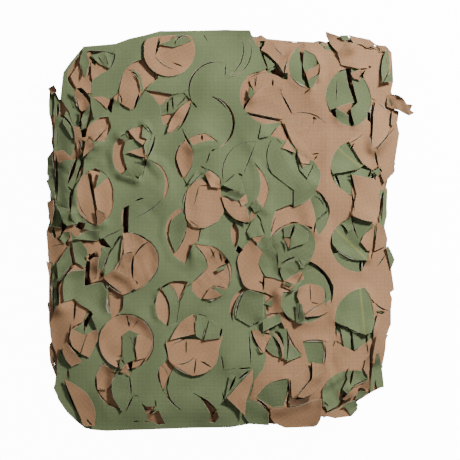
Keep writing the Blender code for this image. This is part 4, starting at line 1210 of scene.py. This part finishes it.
GRID_LINE, GRID_SOFTNESS = 0.84, 6.0
PATCHES, THREADS, WEAR = (26.0, 3.0), (900.0, 2.0), (240.0, 4.0)  # scale and detail of each noise
STRIPE_HALF = 1.7
STRIPE_COLOUR = (0.36, 0.34, 0.10)
# GLINT_COLOUR is a painted highlight: near-white flecks of light along the cuts.
GLINT_COLOUR = (0.80, 0.80, 0.74)
RELIEF_DEPTH = 0.0003
RIM_SHARE, GLINT_SHARE = 0.62, 0.7  # of the colour that shows through at a cut


def grid_lines(coordinate):
    """1 on the ripstop threads and 0 between them."""
    from_middle = (coordinate.math("FRACT") - 0.5).math("ABSOLUTE")
    return ((from_middle * 2 - GRID_LINE) * GRID_SOFTNESS).clamped()


def cloth_material():
    """Matt ripstop cloth: green on one face, brown on the other, with pale frayed rims along its cuts."""
    known = bpy.data.materials.get("net_cloth_finish")
    if known:
        return known
    colours = bpy.context.scene.net_colours
    sizes = bpy.context.scene.net_sizes
    material = bpy.data.materials.new("net_cloth_finish")
    material.use_nodes = True
    tree = Tree(material.node_tree)
    brown, frayed, tone, stripe = (
        tree.node("ShaderNodeAttribute", {"attribute_name": key}, output="Fac")
        for key in ("brown", "rim", "tone", "stripe")
    )
    place = tree.node("ShaderNodeTexCoord", output="Object")
    weave = tree.node("ShaderNodeUVMap", {"uv_map": "weave"})
    scaled = tree.node("ShaderNodeVectorMath", {"operation": "SCALE"}, {0: weave, "Scale": 1 / sizes.ripstop})
    across = tree.node("ShaderNodeSeparateXYZ", inputs={0: scaled}, output=0)
    along = tree.node("ShaderNodeSeparateXYZ", inputs={0: scaled}, output=1)
    lines = grid_lines(across).math("MAXIMUM", grid_lines(along))
    patches, threads, wear = (tree.noise(place, *noise) for noise in (PATCHES, THREADS, WEAR))
    # The two faces, with lighter and darker patches and darker ripstop threads.
    colour = tree.mix(brown, colours.green, colours.brown)
    # The tone is partly painted shade: lower layers and the darkest leaves are darkened as if in shadow.
    shade = 0.97 + (patches - 0.5) * 0.36 + (threads - 0.5) * 0.5 + tone - lines * 0.17
    shade = tree.node("ShaderNodeCombineColor", inputs={0: shade, 1: shade, 2: shade})
    colour = tree.mix(1.0, colour, shade, "MULTIPLY")
    # A painted stripe, on the green face only.
    band = (1.0 - stripe.math("ABSOLUTE") * (1 / STRIPE_HALF)).clamped()
    streaks = (stripe * 4.2).math("SINE") * 0.3 + 0.5
    colour = tree.mix((band * streaks * (1.0 - brown)).clamped(), colour, STRIPE_COLOUR)
    # The frayed rim along a cut, and painted glints of light on its brightest threads.
    rim = (frayed * 3.0 - 2.5 + wear * 1.2).clamped()
    colour = tree.mix(rim * RIM_SHARE, colour, colours.yarn)
    glint = ((frayed * 0.5 + wear - 1.17) * 14.0).clamped()
    colour = tree.mix(glint * GLINT_SHARE, colour, GLINT_COLOUR)
    relief = lines * 0.8 + threads * 0.7 + wear * 0.3
    bump = tree.node("ShaderNodeBump", inputs={"Strength": 0.35, "Distance": RELIEF_DEPTH, "Height": relief})
    shader = material.node_tree.nodes["Principled BSDF"]
    shader.inputs["Sheen Weight"].default_value = 0.08
    shader.inputs["Sheen Roughness"].default_value = 0.5
    shader.inputs["Specular IOR Level"].default_value = 0.25
    links = material.node_tree.links
    links.new(colour.output, shader.inputs["Base Color"])
    links.new((0.72 + patches * 0.2).output, shader.inputs["Roughness"])
    links.new(bump.output, shader.inputs["Normal"])
    return material


# ---- The layers and their leaves ----

# The layers' tones are painted shade for depth: the deeper a layer lies, the darker it is painted.
LAYERS = {
    THIRD: {
        "outline": PACK_EDGE, "cuts": THIRD_CUTS, "creases": (), "leaves": THIRD_LEAVES,
        "face": GREEN, "spacing": 4.0, "shrink": 0.99, "tone": -0.06,
    },
    SECOND: {
        "outline": PACK_EDGE, "cuts": SECOND_CUTS, "creases": SECOND_CREASES, "leaves": SECOND_LEAVES,
        "face": BROWN, "spacing": 3.0, "shrink": 1.004, "tone": 0.0,
    },
    TOP: {
        "outline": TOP_EDGE, "cuts": TOP_CUTS, "creases": TOP_CREASES, "leaves": TOP_LEAVES,
        "face": GREEN, "spacing": 3.0, "shrink": 1.008, "tone": 0.02,
    },
}
LAYER_WAVES, LEAF_WAVES = (45.0, 0.9), (28.0, 0.45)  # length and height
FOLD_LENGTH = 9.0
CREASE_PART = (0.08, 0.92)  # of a half wave, so that a soft fold is low but not flat at its ends
LEAF_TONE = 0.07  # the most that a leaf is lighter or darker by chance


def crease_field(creases, x, y):
    """The soft folds of one layer."""
    total = np.zeros(x.shape)
    for x0, y0, x1, y1, height, width in creases:
        length = hypot(x1 - x0, y1 - y0)
        way_x, way_y = (x1 - x0) / length, (y1 - y0) / length
        along = np.clip((x - x0) * way_x + (y - y0) * way_y, 0, length)
        away = np.hypot(x - x0 - along * way_x, y - y0 - along * way_y)
        total += height * np.exp(-((away / width) ** 2)) * np.sin(pi * np.clip(along / length, *CREASE_PART))
    return total


def lay_layer(pile, name, sizes, rng):
    """One whole layer, laid on the pile. Gives the object, the layer's area and its points in plan."""
    row = LAYERS[name]
    outline = [(x * row["shrink"], y * row["shrink"], *bow) for x, y, *bow in row["outline"]]
    rings = [ring(outline)] + [ring(cut) for cut in row["cuts"]]
    rings += [grown(ring(sunk["outline"]), SUNK_GAP) for sunk in row["leaves"] if sunk["sunk"]]
    kept = EDGE_KEPT if name == THIRD else -EDGE_KEPT
    rings += [gap for gap in gaps_over(rings[0]) if inside_by(gap[:, 0], gap[:, 1]).min() > kept]

    def shape(x, y):
        return ripple(rng, x, y, *LAYER_WAVES) + crease_field(row["creases"], x, y)

    thickness = sizes.thickness / MM
    height_at = pile.lay(rings, LAYER_LOFT, LAYER_STIFFNESS, shape, thickness, whole=True)
    plan, frayed, faces = cut_mesh(rings, row["spacing"], rng)
    points = np.column_stack((plan, height_at(plan[:, 0], plan[:, 1]) + thickness))
    cloth = Cloth()
    cloth.add(points, faces, frayed, row["face"], row["tone"], plan)
    area = sum(abs(cross(plan[face])) for face in faces) / 2 * MM**2
    return cloth.make(name), area, plan


def cross(corners):
    (ax, ay), (bx, by), (cx, cy) = corners
    return (bx - ax) * (cy - ay) - (cx - ax) * (by - ay)


def lay_leaf(pile, row, cloth, sizes, rng):
    """One leaf of the table, laid on the pile."""
    outline = ring(row["outline"])
    rings = [outline] + [ring(cut) for cut in row["cuts"]] + gaps_over(outline)
    way = rng.uniform(0, 2 * pi)
    tone = rng.uniform(-LEAF_TONE, LEAF_TONE) if row["tone"] is None else row["tone"]
    reach = rings[0] @ (cos(way), sin(way))

    def shape(x, y):
        share = np.clip((x * cos(way) + y * sin(way) - reach.min()) / (np.ptp(reach) + 1), 0, 1)
        waves = ripple(rng, x, y, *LEAF_WAVES) + LEAF_LIFT_SHARE * row["lift"] * share**2
        if row["crumple"]:
            waves = waves + sharp_folds(rng, x, y, FOLD_LENGTH, row["crumple"])
        return waves

    thickness = sizes.thickness / MM
    plan, frayed, faces = cut_mesh(rings, sizes.leaf_spacing / MM, rng)
    if row["height"] is None:
        height_at = pile.lay(rings, LEAF_LOFT_SHARE * row["loft"], LEAF_STIFFNESS, shape, thickness)
        heights = height_at(plan[:, 0], plan[:, 1])
    else:
        heights = row["height"] + shape(plan[:, 0], plan[:, 1])
    points = np.column_stack((plan, heights + thickness))
    if row["roll"]:
        points = rolled(points, row["roll"])
    cloth.add(points, faces, frayed, row["face"], tone, turned(plan, way), row["stripe"])


def lay_pile(scene):
    """The three uppermost layers and all leaves on them, from below upwards."""
    sizes = scene.net_sizes
    rng = np.random.default_rng(sizes.seed)
    pile = Pile()
    laid = {}
    for name, layer in LAYERS.items():
        made = lay_layer(pile, name, sizes, rng)
        cloth = Cloth()
        for row in layer["leaves"]:
            lay_leaf(pile, row, cloth, sizes, rng)
        laid[name] = (*made, cloth.make("leaves_on_" + name))
    return laid


# ---- The folded layers below ----

CORE_LAYERS = 16
CORE_GAP = 8.0  # below the third layer from above
CORE_TOP = PACK_HEIGHT - TOP_ROOM - STACK - CORE_GAP
CORE_LOW = 0.6
CORE_PITCH = (CORE_TOP - CORE_LOW) / (CORE_LAYERS - 1)
CORE_HALF = (166.0, 190.0)
CORE_INSET = {"top": 7.0, "bottom": 8.0}
CORE_STEPS_ALONG, CORE_STEPS_ACROSS, CORE_FOLD_STEPS = 26, 24, 5
CORE_RAGGED = 6.0  # how far inside the pack's edge a layer's ragged edge lies
CORE_SCALLOP = (3.0, 29.0, 1.7)  # of a ragged edge: depth, length, and shift from one layer to the next
CORE_SWAY = (2.0, 41.0, 1.9)  # the same, in longer waves
CORE_STEP = (1.5, 2.3)  # how far one fold stands out past another, and shift from one layer to the next
FOLD_FULLNESS = 1.8  # how far a fold bulges out, in half pitches
CORE_WAVE, CORE_WAVE_X, CORE_WAVE_Y = 1.5, 17.0, 21.0  # height, and lengths along X and Y
# Painted shade: the folded layers, seen only deep in the gaps, are painted a little darker.
CORE_TONE = -0.05


def core_inset(layer):
    """How far a layer stops short of the widest one."""
    from_middle = 2 * (layer + 0.5) / CORE_LAYERS - 1
    return CORE_INSET["top" if from_middle > 0 else "bottom"] * abs(from_middle) ** 3


def core_side(layer, side, y):
    """How far from the middle a layer's left (-1) or right (1) edge is at y."""
    level = min(max(y, -CORE_HALF[1]), CORE_HALF[1])
    places = [row[:2] for row in PACK_EDGE]
    crossings = [
        x0 + (level - y0) / (y1 - y0) * (x1 - x0)
        for (x0, y0), (x1, y1) in zip(places, places[1:] + places[:1])
        if (y0 > level) != (y1 > level)
    ]
    edge = side * (max(side * x for x in crossings) * side - PACK_MIDDLE[0])
    depth, length, shift = CORE_SCALLOP
    scallop = depth * abs(sin(pi * y / length + shift * layer + side))
    depth, length, shift = CORE_SWAY
    return edge - core_inset(layer) - CORE_RAGGED + scallop + depth * sin(y / length + shift * layer)


def core_reach(layer):
    """How far from the middle a layer's ends are."""
    step, shift = CORE_STEP
    return CORE_HALF[1] - core_inset(layer) - step * (1 + sin(shift * layer))


def core_stations():
    """The folding path, seen along X, from the floor up: layer, share of the next fold, y and z."""
    stations = []
    for layer in range(CORE_LAYERS):
        way = 1 if layer % 2 == 0 else -1
        half, after = core_reach(layer), core_reach(layer + 1)
        z = CORE_LOW + layer * CORE_PITCH
        for i in range(CORE_STEPS_ALONG + 1):
            stations.append((layer, 0.0, way * half * (2 * i / CORE_STEPS_ALONG - 1), z))
        if layer < CORE_LAYERS - 1:
            for step in range(1, CORE_FOLD_STEPS):
                share = step / CORE_FOLD_STEPS
                bulge = CORE_PITCH / 2 * sin(pi * share)
                y = way * (half + (after - half) * share + FOLD_FULLNESS * bulge)
                stations.append((layer, share, y, z + CORE_PITCH / 2 * (1 - cos(pi * share))))
    return stations


def core_height(x, y, z, layer):
    """Height of a place in the folded layers, which follow the pack's form and are uneven between."""
    share = z / CORE_TOP
    full = pack_top(np.float64(x), np.float64(y)) - STACK - CORE_GAP
    wave = CORE_WAVE * sin(x / CORE_WAVE_X + 1.3 * layer) * sin(y / CORE_WAVE_Y - 0.9 * layer)
    return CORE_LOW + (z - CORE_LOW) * full / CORE_TOP + wave * min(share * 6, 1.0)


def make_core():
    """The folded layers as one thin sheet. Gives the object and the sheet's flat length."""
    stations = core_stations()
    points, plan, faces = [], [], []
    run = 0.0
    for i, (layer, share, y, z) in enumerate(stations):
        if i:
            run += hypot(y - stations[i - 1][2], z - stations[i - 1][3])
        left, right = (
            side * (core_side(layer, side, y) * (1 - share) + core_side(layer + 1, side, y) * share)
            for side in (-1, 1)
        )
        for j in range(CORE_STEPS_ACROSS + 1):
            x = PACK_MIDDLE[0] + left + (right - left) * j / CORE_STEPS_ACROSS
            points.append((x, y + PACK_MIDDLE[1], max(core_height(x, y, z, layer), CORE_LOW)))
            plan.append((x, run))
    width = CORE_STEPS_ACROSS + 1
    for i in range(len(stations) - 1):
        for j in range(CORE_STEPS_ACROSS):
            a = i * width + j
            faces.append((a, a + 1, a + 1 + width, a + width))
    frayed = np.array([j in (0, CORE_STEPS_ACROSS) for _ in stations for j in range(width)])
    cloth = Cloth()
    cloth.add(points, faces, frayed, GREEN, CORE_TONE, np.array(plan))
    return cloth.make("folded_layers"), run * MM


# ---- Leaves along the pack's edges ----

# Shapes of the leaves that stand out of the edges. Each is rooted in the pack and reaches out along +X.
EDGE_LEAVES = [
    {"face": GREEN, "outline": [(-13, -13), (-13, 13, 0.1), (3, 15, 0.5), (3, -15, 0.1)]},
    {"face": BROWN, "outline": [(-13, -11), (-13, 11), (6, 13, 0.35), (9, -9, 0.1)]},
    {"face": GREEN, "outline": [(-13, -9), (-13, 9), (0, 14, 0.1), (9, 5), (4, 0), (10, -7, 0.1)]},
    {"face": BROWN, "outline": [(-13, -10), (-13, 10, 0.1), (10, 2, 0.1)]},
    {"face": GREEN, "outline": [(-13, -12), (-13, 8), (5, 12), (8, 10, 0.2), (7, -10)]},
    {"face": BROWN, "outline": [(-13, -13), (-13, 13), (2, 17, 0.15), (9, 4), (5, -16, 0.1)]},
]
EDGE_LEAF_SPACING = 5.5
EDGE_LEAF_ROOT = 7.0  # how far inside the layer's edge a leaf starts
EDGE_LEAF_TONE = (-0.12, 0.0)
EDGE_SMOOTHING = 12
GUIDE_STEP = 4
DROOP_START, DROOP = -4.0, 0.022  # from where on a leaf hangs down, and how fast
CURL_ACROSS, CURL_ALONG = (0.9, 5.0), (0.5, 4.0)  # height and length of a leaf's waves


def edge_templates(rng):
    """The leaf shapes as objects in a hidden collection, each with its root at the origin."""
    shelf = bpy.data.collections.new("edge_leaf_shapes")
    for i, row in enumerate(EDGE_LEAVES):
        plan, frayed, faces = cut_mesh([ring(row["outline"])], EDGE_LEAF_SPACING, rng)
        along, across = plan.T
        heights = -DROOP * np.maximum(along - DROOP_START, 0) ** 2
        heights = heights + CURL_ACROSS[0] * np.sin(across / CURL_ACROSS[1] + i)
        heights = heights + CURL_ALONG[0] * np.sin(along / CURL_ALONG[1] + 2 * i)
        points = np.column_stack((plan, heights))
        cloth = Cloth()
        cloth.add(points, faces, frayed, row["face"], rng.uniform(*EDGE_LEAF_TONE), plan)
        obj = cloth.make(f"edge_leaf_shape_{i}")
        bpy.context.scene.collection.objects.unlink(obj)
        shelf.objects.link(obj)
    return shelf


def guide_loops(layers):
    """Closed lines just inside the edges of these layers: points, edges, and the way out at each point."""
    smooth = ring(PACK_EDGE)
    for _ in range(EDGE_SMOOTHING):
        smooth = (np.roll(smooth, 1, axis=0) + 2 * smooth + np.roll(smooth, -1, axis=0)) / 4
    out = grown(smooth, 1.0) - smooth
    points, edges, outward = [], [], []
    for layer in layers:
        inset = EDGE_LEAF_ROOT + core_inset(layer)
        z = CORE_LOW + layer * CORE_PITCH
        start = len(points)
        for place, way in zip((smooth - inset * out)[::GUIDE_STEP], out[::GUIDE_STEP]):
            points.append((place[0] * MM, place[1] * MM, core_height(*place, z, layer) * MM))
            outward.append((*way, 0))
        edges += closed_line(start, len(points) - start)
    return points, edges, outward


EDGE_LEAF_SETTINGS = {"Smallest": 0.6, "Largest": 1.1, "Turn": 0.6, "Tip": 0.5, "Stray": 0.0025}


def leaf_tree(material):
    """Geometry Nodes that set leaves along guide lines, each turned, tipped and sized a little otherwise."""
    group = bpy.data.node_groups.new("edge_leaves", "GeometryNodeTree")
    face = group.interface
    face.new_socket("Geometry", in_out="INPUT", socket_type="NodeSocketGeometry")
    numbers = dict.fromkeys(("Spacing", *EDGE_LEAF_SETTINGS), "Float")
    kinds = {"Leaves": "Collection", **numbers, "Seed": "Int"}
    names = {}
    for name, kind in kinds.items():
        names[name] = face.new_socket(name, in_out="INPUT", socket_type=f"NodeSocket{kind}").identifier
    face.new_socket("Geometry", in_out="OUTPUT", socket_type="NodeSocketGeometry")
    tree = Tree(group)
    given = group.nodes.new("NodeGroupInput")
    value = {name: Socket(tree, given.outputs[name]) for name in ("Geometry", *names)}

    def number(low, high, offset):
        made = group.nodes.new("FunctionNodeRandomValue")
        made.data_type = "FLOAT"
        floats = [socket for socket in made.inputs if socket.type == "VALUE"]
        for socket, bound in zip(floats, (low, high)):
            if isinstance(bound, Socket):
                group.links.new(bound.output, socket)
            else:
                socket.default_value = bound
        group.links.new((value["Seed"] + offset).output, made.inputs["Seed"])
        return Socket(tree, next(out for out in made.outputs if out.type == "VALUE"))

    curve = tree.node("GeometryNodeMeshToCurve", inputs={"Mesh": value["Geometry"]})
    resample = group.nodes.new("GeometryNodeResampleCurve")
    resample.mode = "LENGTH"
    group.links.new(curve.output, resample.inputs["Curve"])
    group.links.new(value["Spacing"].output, resample.inputs["Length"])
    line = Socket(tree, resample.outputs[0])
    stray = value["Stray"]
    strays = {i: number(stray * -1.0, stray, 11 + i) for i in range(3)}
    drift = tree.node("ShaderNodeCombineXYZ", inputs=strays)
    line = tree.node("GeometryNodeSetPosition", inputs={"Geometry": line, "Offset": drift})
    vector = {"data_type": "FLOAT_VECTOR"}
    outward = tree.node("GeometryNodeInputNamedAttribute", vector, {"Name": "outward"})
    axes = {"axis": "X", "pivot_axis": "Z"}
    facing = tree.node("FunctionNodeAlignRotationToVector", axes, {"Vector": outward})
    turn, tip = value["Turn"], value["Tip"]
    spin = {
        0: number(tip * -0.5, tip * 0.5, 1),
        1: number(tip * -0.25, tip, 2),
        2: number(turn * -1.0, turn, 3),
    }
    angles = tree.node("ShaderNodeCombineXYZ", inputs=spin)
    own = tree.node("FunctionNodeEulerToRotation", inputs={0: angles})
    rotation = tree.node("FunctionNodeRotateRotation", {"rotation_space": "LOCAL"}, {0: facing, 1: own})
    shapes = tree.node("GeometryNodeCollectionInfo", inputs={
        "Collection": value["Leaves"], "Separate Children": True, "Reset Children": True,
    })
    picked = number(0.0, len(EDGE_LEAVES) - 0.01, 4).math("FLOOR")
    placed = tree.node("GeometryNodeInstanceOnPoints", inputs={
        "Points": line, "Instance": shapes, "Pick Instance": True, "Instance Index": picked,
        "Rotation": rotation, "Scale": number(value["Smallest"], value["Largest"], 5),
    })
    real = tree.node("GeometryNodeRealizeInstances", inputs={"Geometry": placed})
    finished = tree.node("GeometryNodeSetMaterial", inputs={"Geometry": real, "Material": material})
    out = group.nodes.new("NodeGroupOutput")
    group.links.new(finished.output, out.inputs[0])
    return group, names


FLOOR_GAP = 0.3
STANDS_OUT = (-189.0, 176.0, 203.0)  # how far left, right and towards both folds an edge leaf may reach


def make_edge_leaves(sizes, layers, name, seed):
    """Leaves all round the edges of these layers."""
    shelf = edge_templates(np.random.default_rng(sizes.seed + seed))
    points, edges, outward = guide_loops(layers)
    mesh = bpy.data.meshes.new(name + "_guide")
    mesh.from_pydata(points, edges, [])
    ways = mesh.attributes.new("outward", "FLOAT_VECTOR", "POINT")
    ways.data.foreach_set("vector", np.array(outward, np.float32).ravel())
    guide = linked(name + "_guide", mesh)
    group, names = leaf_tree(cloth_material())
    maker = guide.modifiers.new("edge_leaves", "NODES")
    maker.node_group = group
    values = {"Leaves": shelf, "Spacing": sizes.edge_spacing, **EDGE_LEAF_SETTINGS, "Seed": seed}
    for key, value in values.items():
        maker[names[key]] = value
    graph = bpy.context.evaluated_depsgraph_get()
    made = bpy.data.meshes.new_from_object(guide.evaluated_get(graph))
    bpy.data.objects.remove(guide)
    for obj in list(shelf.objects):
        bpy.data.objects.remove(obj)
    bpy.data.collections.remove(shelf)
    places = np.empty(len(made.vertices) * 3, np.float32)
    made.vertices.foreach_get("co", places)
    places = places.reshape(-1, 3) / MM
    left, right, ends = STANDS_OUT
    places[:, 0] = places[:, 0].clip(left, right)
    places[:, 1] = places[:, 1].clip(-ends, ends)
    places[:, 2] = places[:, 2].clip(FLOOR_GAP, None)
    made.vertices.foreach_set("co", (places * MM).astype(np.float32).ravel())
    made.name = name
    return linked(name, made)


# ---- The studio ----

FRAME_WIDTH = 0.460  # what the picture spans at the top of the pack
CAMERA_HEIGHT = 2.4  # above the top of the pack
SENSOR = 0.036
FLOOR_SIZE = 8.0
FLOOR_GLOW = 13.0  # a light table, so that the floor is white and casts no shade
WORLD_GLOW = 0.10
LIT_PLACE = (0, 0, 0.1)
KEY_LIGHT = {"place": (0.72, 0.62, 1.05), "size": 0.2, "power": 25.5}
FILL_LIGHT = {"place": (-0.8, -0.2, 2.0), "size": 1.2, "power": 4.5}


def make_floor():
    mesh = bpy.data.meshes.new("studio_floor")
    half = FLOOR_SIZE / 2
    corners = [(-half, -half, 0), (half, -half, 0), (half, half, 0), (-half, half, 0)]
    mesh.from_pydata(corners, [], [(0, 1, 2, 3)])
    floor = linked("studio_floor", mesh)
    material = bpy.data.materials.new("pale_floor")
    material.use_nodes = True
    shader = material.node_tree.nodes["Principled BSDF"]
    shader.inputs["Base Color"].default_value = (0.93, 0.93, 0.93, 1)
    shader.inputs["Roughness"].default_value = 0.9
    shader.inputs["Emission Color"].default_value = (1, 1, 1, 1)
    shader.inputs["Emission Strength"].default_value = FLOOR_GLOW
    mesh.materials.append(material)
    floor.visible_diffuse = False
    floor.visible_glossy = False
    floor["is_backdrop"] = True


def make_light(name, place, size, power):
    light = bpy.data.lights.new(name, "AREA")
    light.shape = "DISK"
    light.size = size
    light.energy = power
    obj = linked(name, light)
    obj.location = place
    obj.rotation_euler = (Vector(LIT_PLACE) - Vector(place)).to_track_quat("-Z", "Y").to_euler()


def make_camera():
    data = bpy.data.cameras.new("camera")
    data.sensor_width = SENSOR / MM
    data.lens = SENSOR / MM * CAMERA_HEIGHT / FRAME_WIDTH
    camera = linked("camera", data)
    camera.location = (0, 0, PACK_HEIGHT * MM + CAMERA_HEIGHT)
    bpy.context.scene.camera = camera


def make_world():
    world = bpy.data.worlds.new("studio_world")
    world.use_nodes = True
    background = world.node_tree.nodes["Background"]
    background.inputs["Color"].default_value = (1, 1, 1, 1)
    background.inputs["Strength"].default_value = WORLD_GLOW
    bpy.context.scene.world = world


# ---- The add-on ----


class NetSizes(PropertyGroup):
    thickness: FloatProperty(name="Thickness", description="Of the cloth", default=0.0005, unit="LENGTH")
    ripstop: FloatProperty(
        name="Ripstop", description="From one ripstop thread to the next", default=0.004, unit="LENGTH"
    )
    leaf_spacing: FloatProperty(
        name="Leaf mesh", description="Between a leaf's points", default=0.0028, unit="LENGTH"
    )
    edge_spacing: FloatProperty(
        name="Edge leaves", description="From one edge leaf to the next", default=0.024, unit="LENGTH"
    )
    seed: IntProperty(name="Seed", description="Changes how the leaves happen to lie", default=7)


class NetColours(PropertyGroup):
    green: FloatVectorProperty(
        name="Green", description="The green face", subtype="COLOR", default=(0.162, 0.203, 0.096)
    )
    brown: FloatVectorProperty(
        name="Brown", description="The brown face", subtype="COLOR", default=(0.425, 0.238, 0.124)
    )
    yarn: FloatVectorProperty(
        name="Yarn", description="Bare yarn at the cuts", subtype="COLOR", default=(0.52, 0.49, 0.38)
    )


def belongs(obj):
    """Every piece rides on the one body."""
    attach(obj, BODY)


class NET_OT_folded_layers(Operator):
    """Makes the lower layers as one thin sheet folded to and fro"""

    bl_idname = "net.folded_layers"
    bl_label = "Folded layers"

    def execute(self, context):
        core, length = make_core()
        belongs(core)
        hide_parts(NODE)
        return {"FINISHED"}


class NET_OT_upper_layers(Operator):
    """Lays the three uppermost layers and their leaves"""

    bl_idname = "net.upper_layers"
    bl_label = "Upper layers and leaves"

    def execute(self, context):
        below = "folded_layers"
        for name, (layer, area, plan, leaves) in lay_pile(context.scene).items():
            belongs(layer)
            belongs(leaves)
            flat = tuple(float(size) * MM for size in np.ptp(plan, axis=0))
            below = name
        return {"FINISHED"}


class NET_OT_edge_leaves(Operator):
    """Sets leaves all round the edges of the folded layers"""

    bl_idname = "net.edge_leaves"
    bl_label = "Edge leaves"

    def execute(self, context):
        sizes = context.scene.net_sizes
        half = CORE_LAYERS // 2
        belongs(make_edge_leaves(sizes, range(half), "lower_edge_leaves", 3))
        belongs(make_edge_leaves(sizes, range(half, CORE_LAYERS), "upper_edge_leaves", 5))
        return {"FINISHED"}


class NET_OT_studio(Operator):
    """Makes the floor, the lights and the camera straight above"""

    bl_idname = "net.studio"
    bl_label = "Studio"

    def execute(self, context):
        make_floor()
        make_world()
        make_light("key_light", **KEY_LIGHT)
        make_light("fill_light", **FILL_LIGHT)
        make_camera()
        return {"FINISHED"}


class NET_PT_panel(Panel):
    bl_label = "Camouflage net"
    bl_space_type = "VIEW_3D"
    bl_region_type = "UI"
    bl_category = "Camouflage net"

    def draw(self, context):
        for group in (context.scene.net_sizes, context.scene.net_colours):
            for name in group.bl_rna.properties.keys():
                if name not in ("rna_type", "name"):
                    self.layout.prop(group, name)
        for operator in OPERATORS:
            self.layout.operator(operator.bl_idname)


OPERATORS = (NET_OT_studio, NET_OT_folded_layers, NET_OT_upper_layers, NET_OT_edge_leaves)
CLASSES = (NetSizes, NetColours, *OPERATORS, NET_PT_panel)


def register():
    for cls in CLASSES:
        bpy.utils.register_class(cls)
    bpy.types.Scene.net_sizes = PointerProperty(type=NetSizes)
    bpy.types.Scene.net_colours = PointerProperty(type=NetColours)


def unregister():
    del bpy.types.Scene.net_sizes
    del bpy.types.Scene.net_colours
    for cls in reversed(CLASSES):
        bpy.utils.unregister_class(cls)


def main():
    register()
    bpy.ops.net.studio()
    bpy.ops.net.folded_layers()
    bpy.ops.net.upper_layers()
    bpy.ops.net.edge_leaves()
    boxes = {"cad": CAD_BOX, "visual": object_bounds()}


if __name__ == "__main__":
    main()
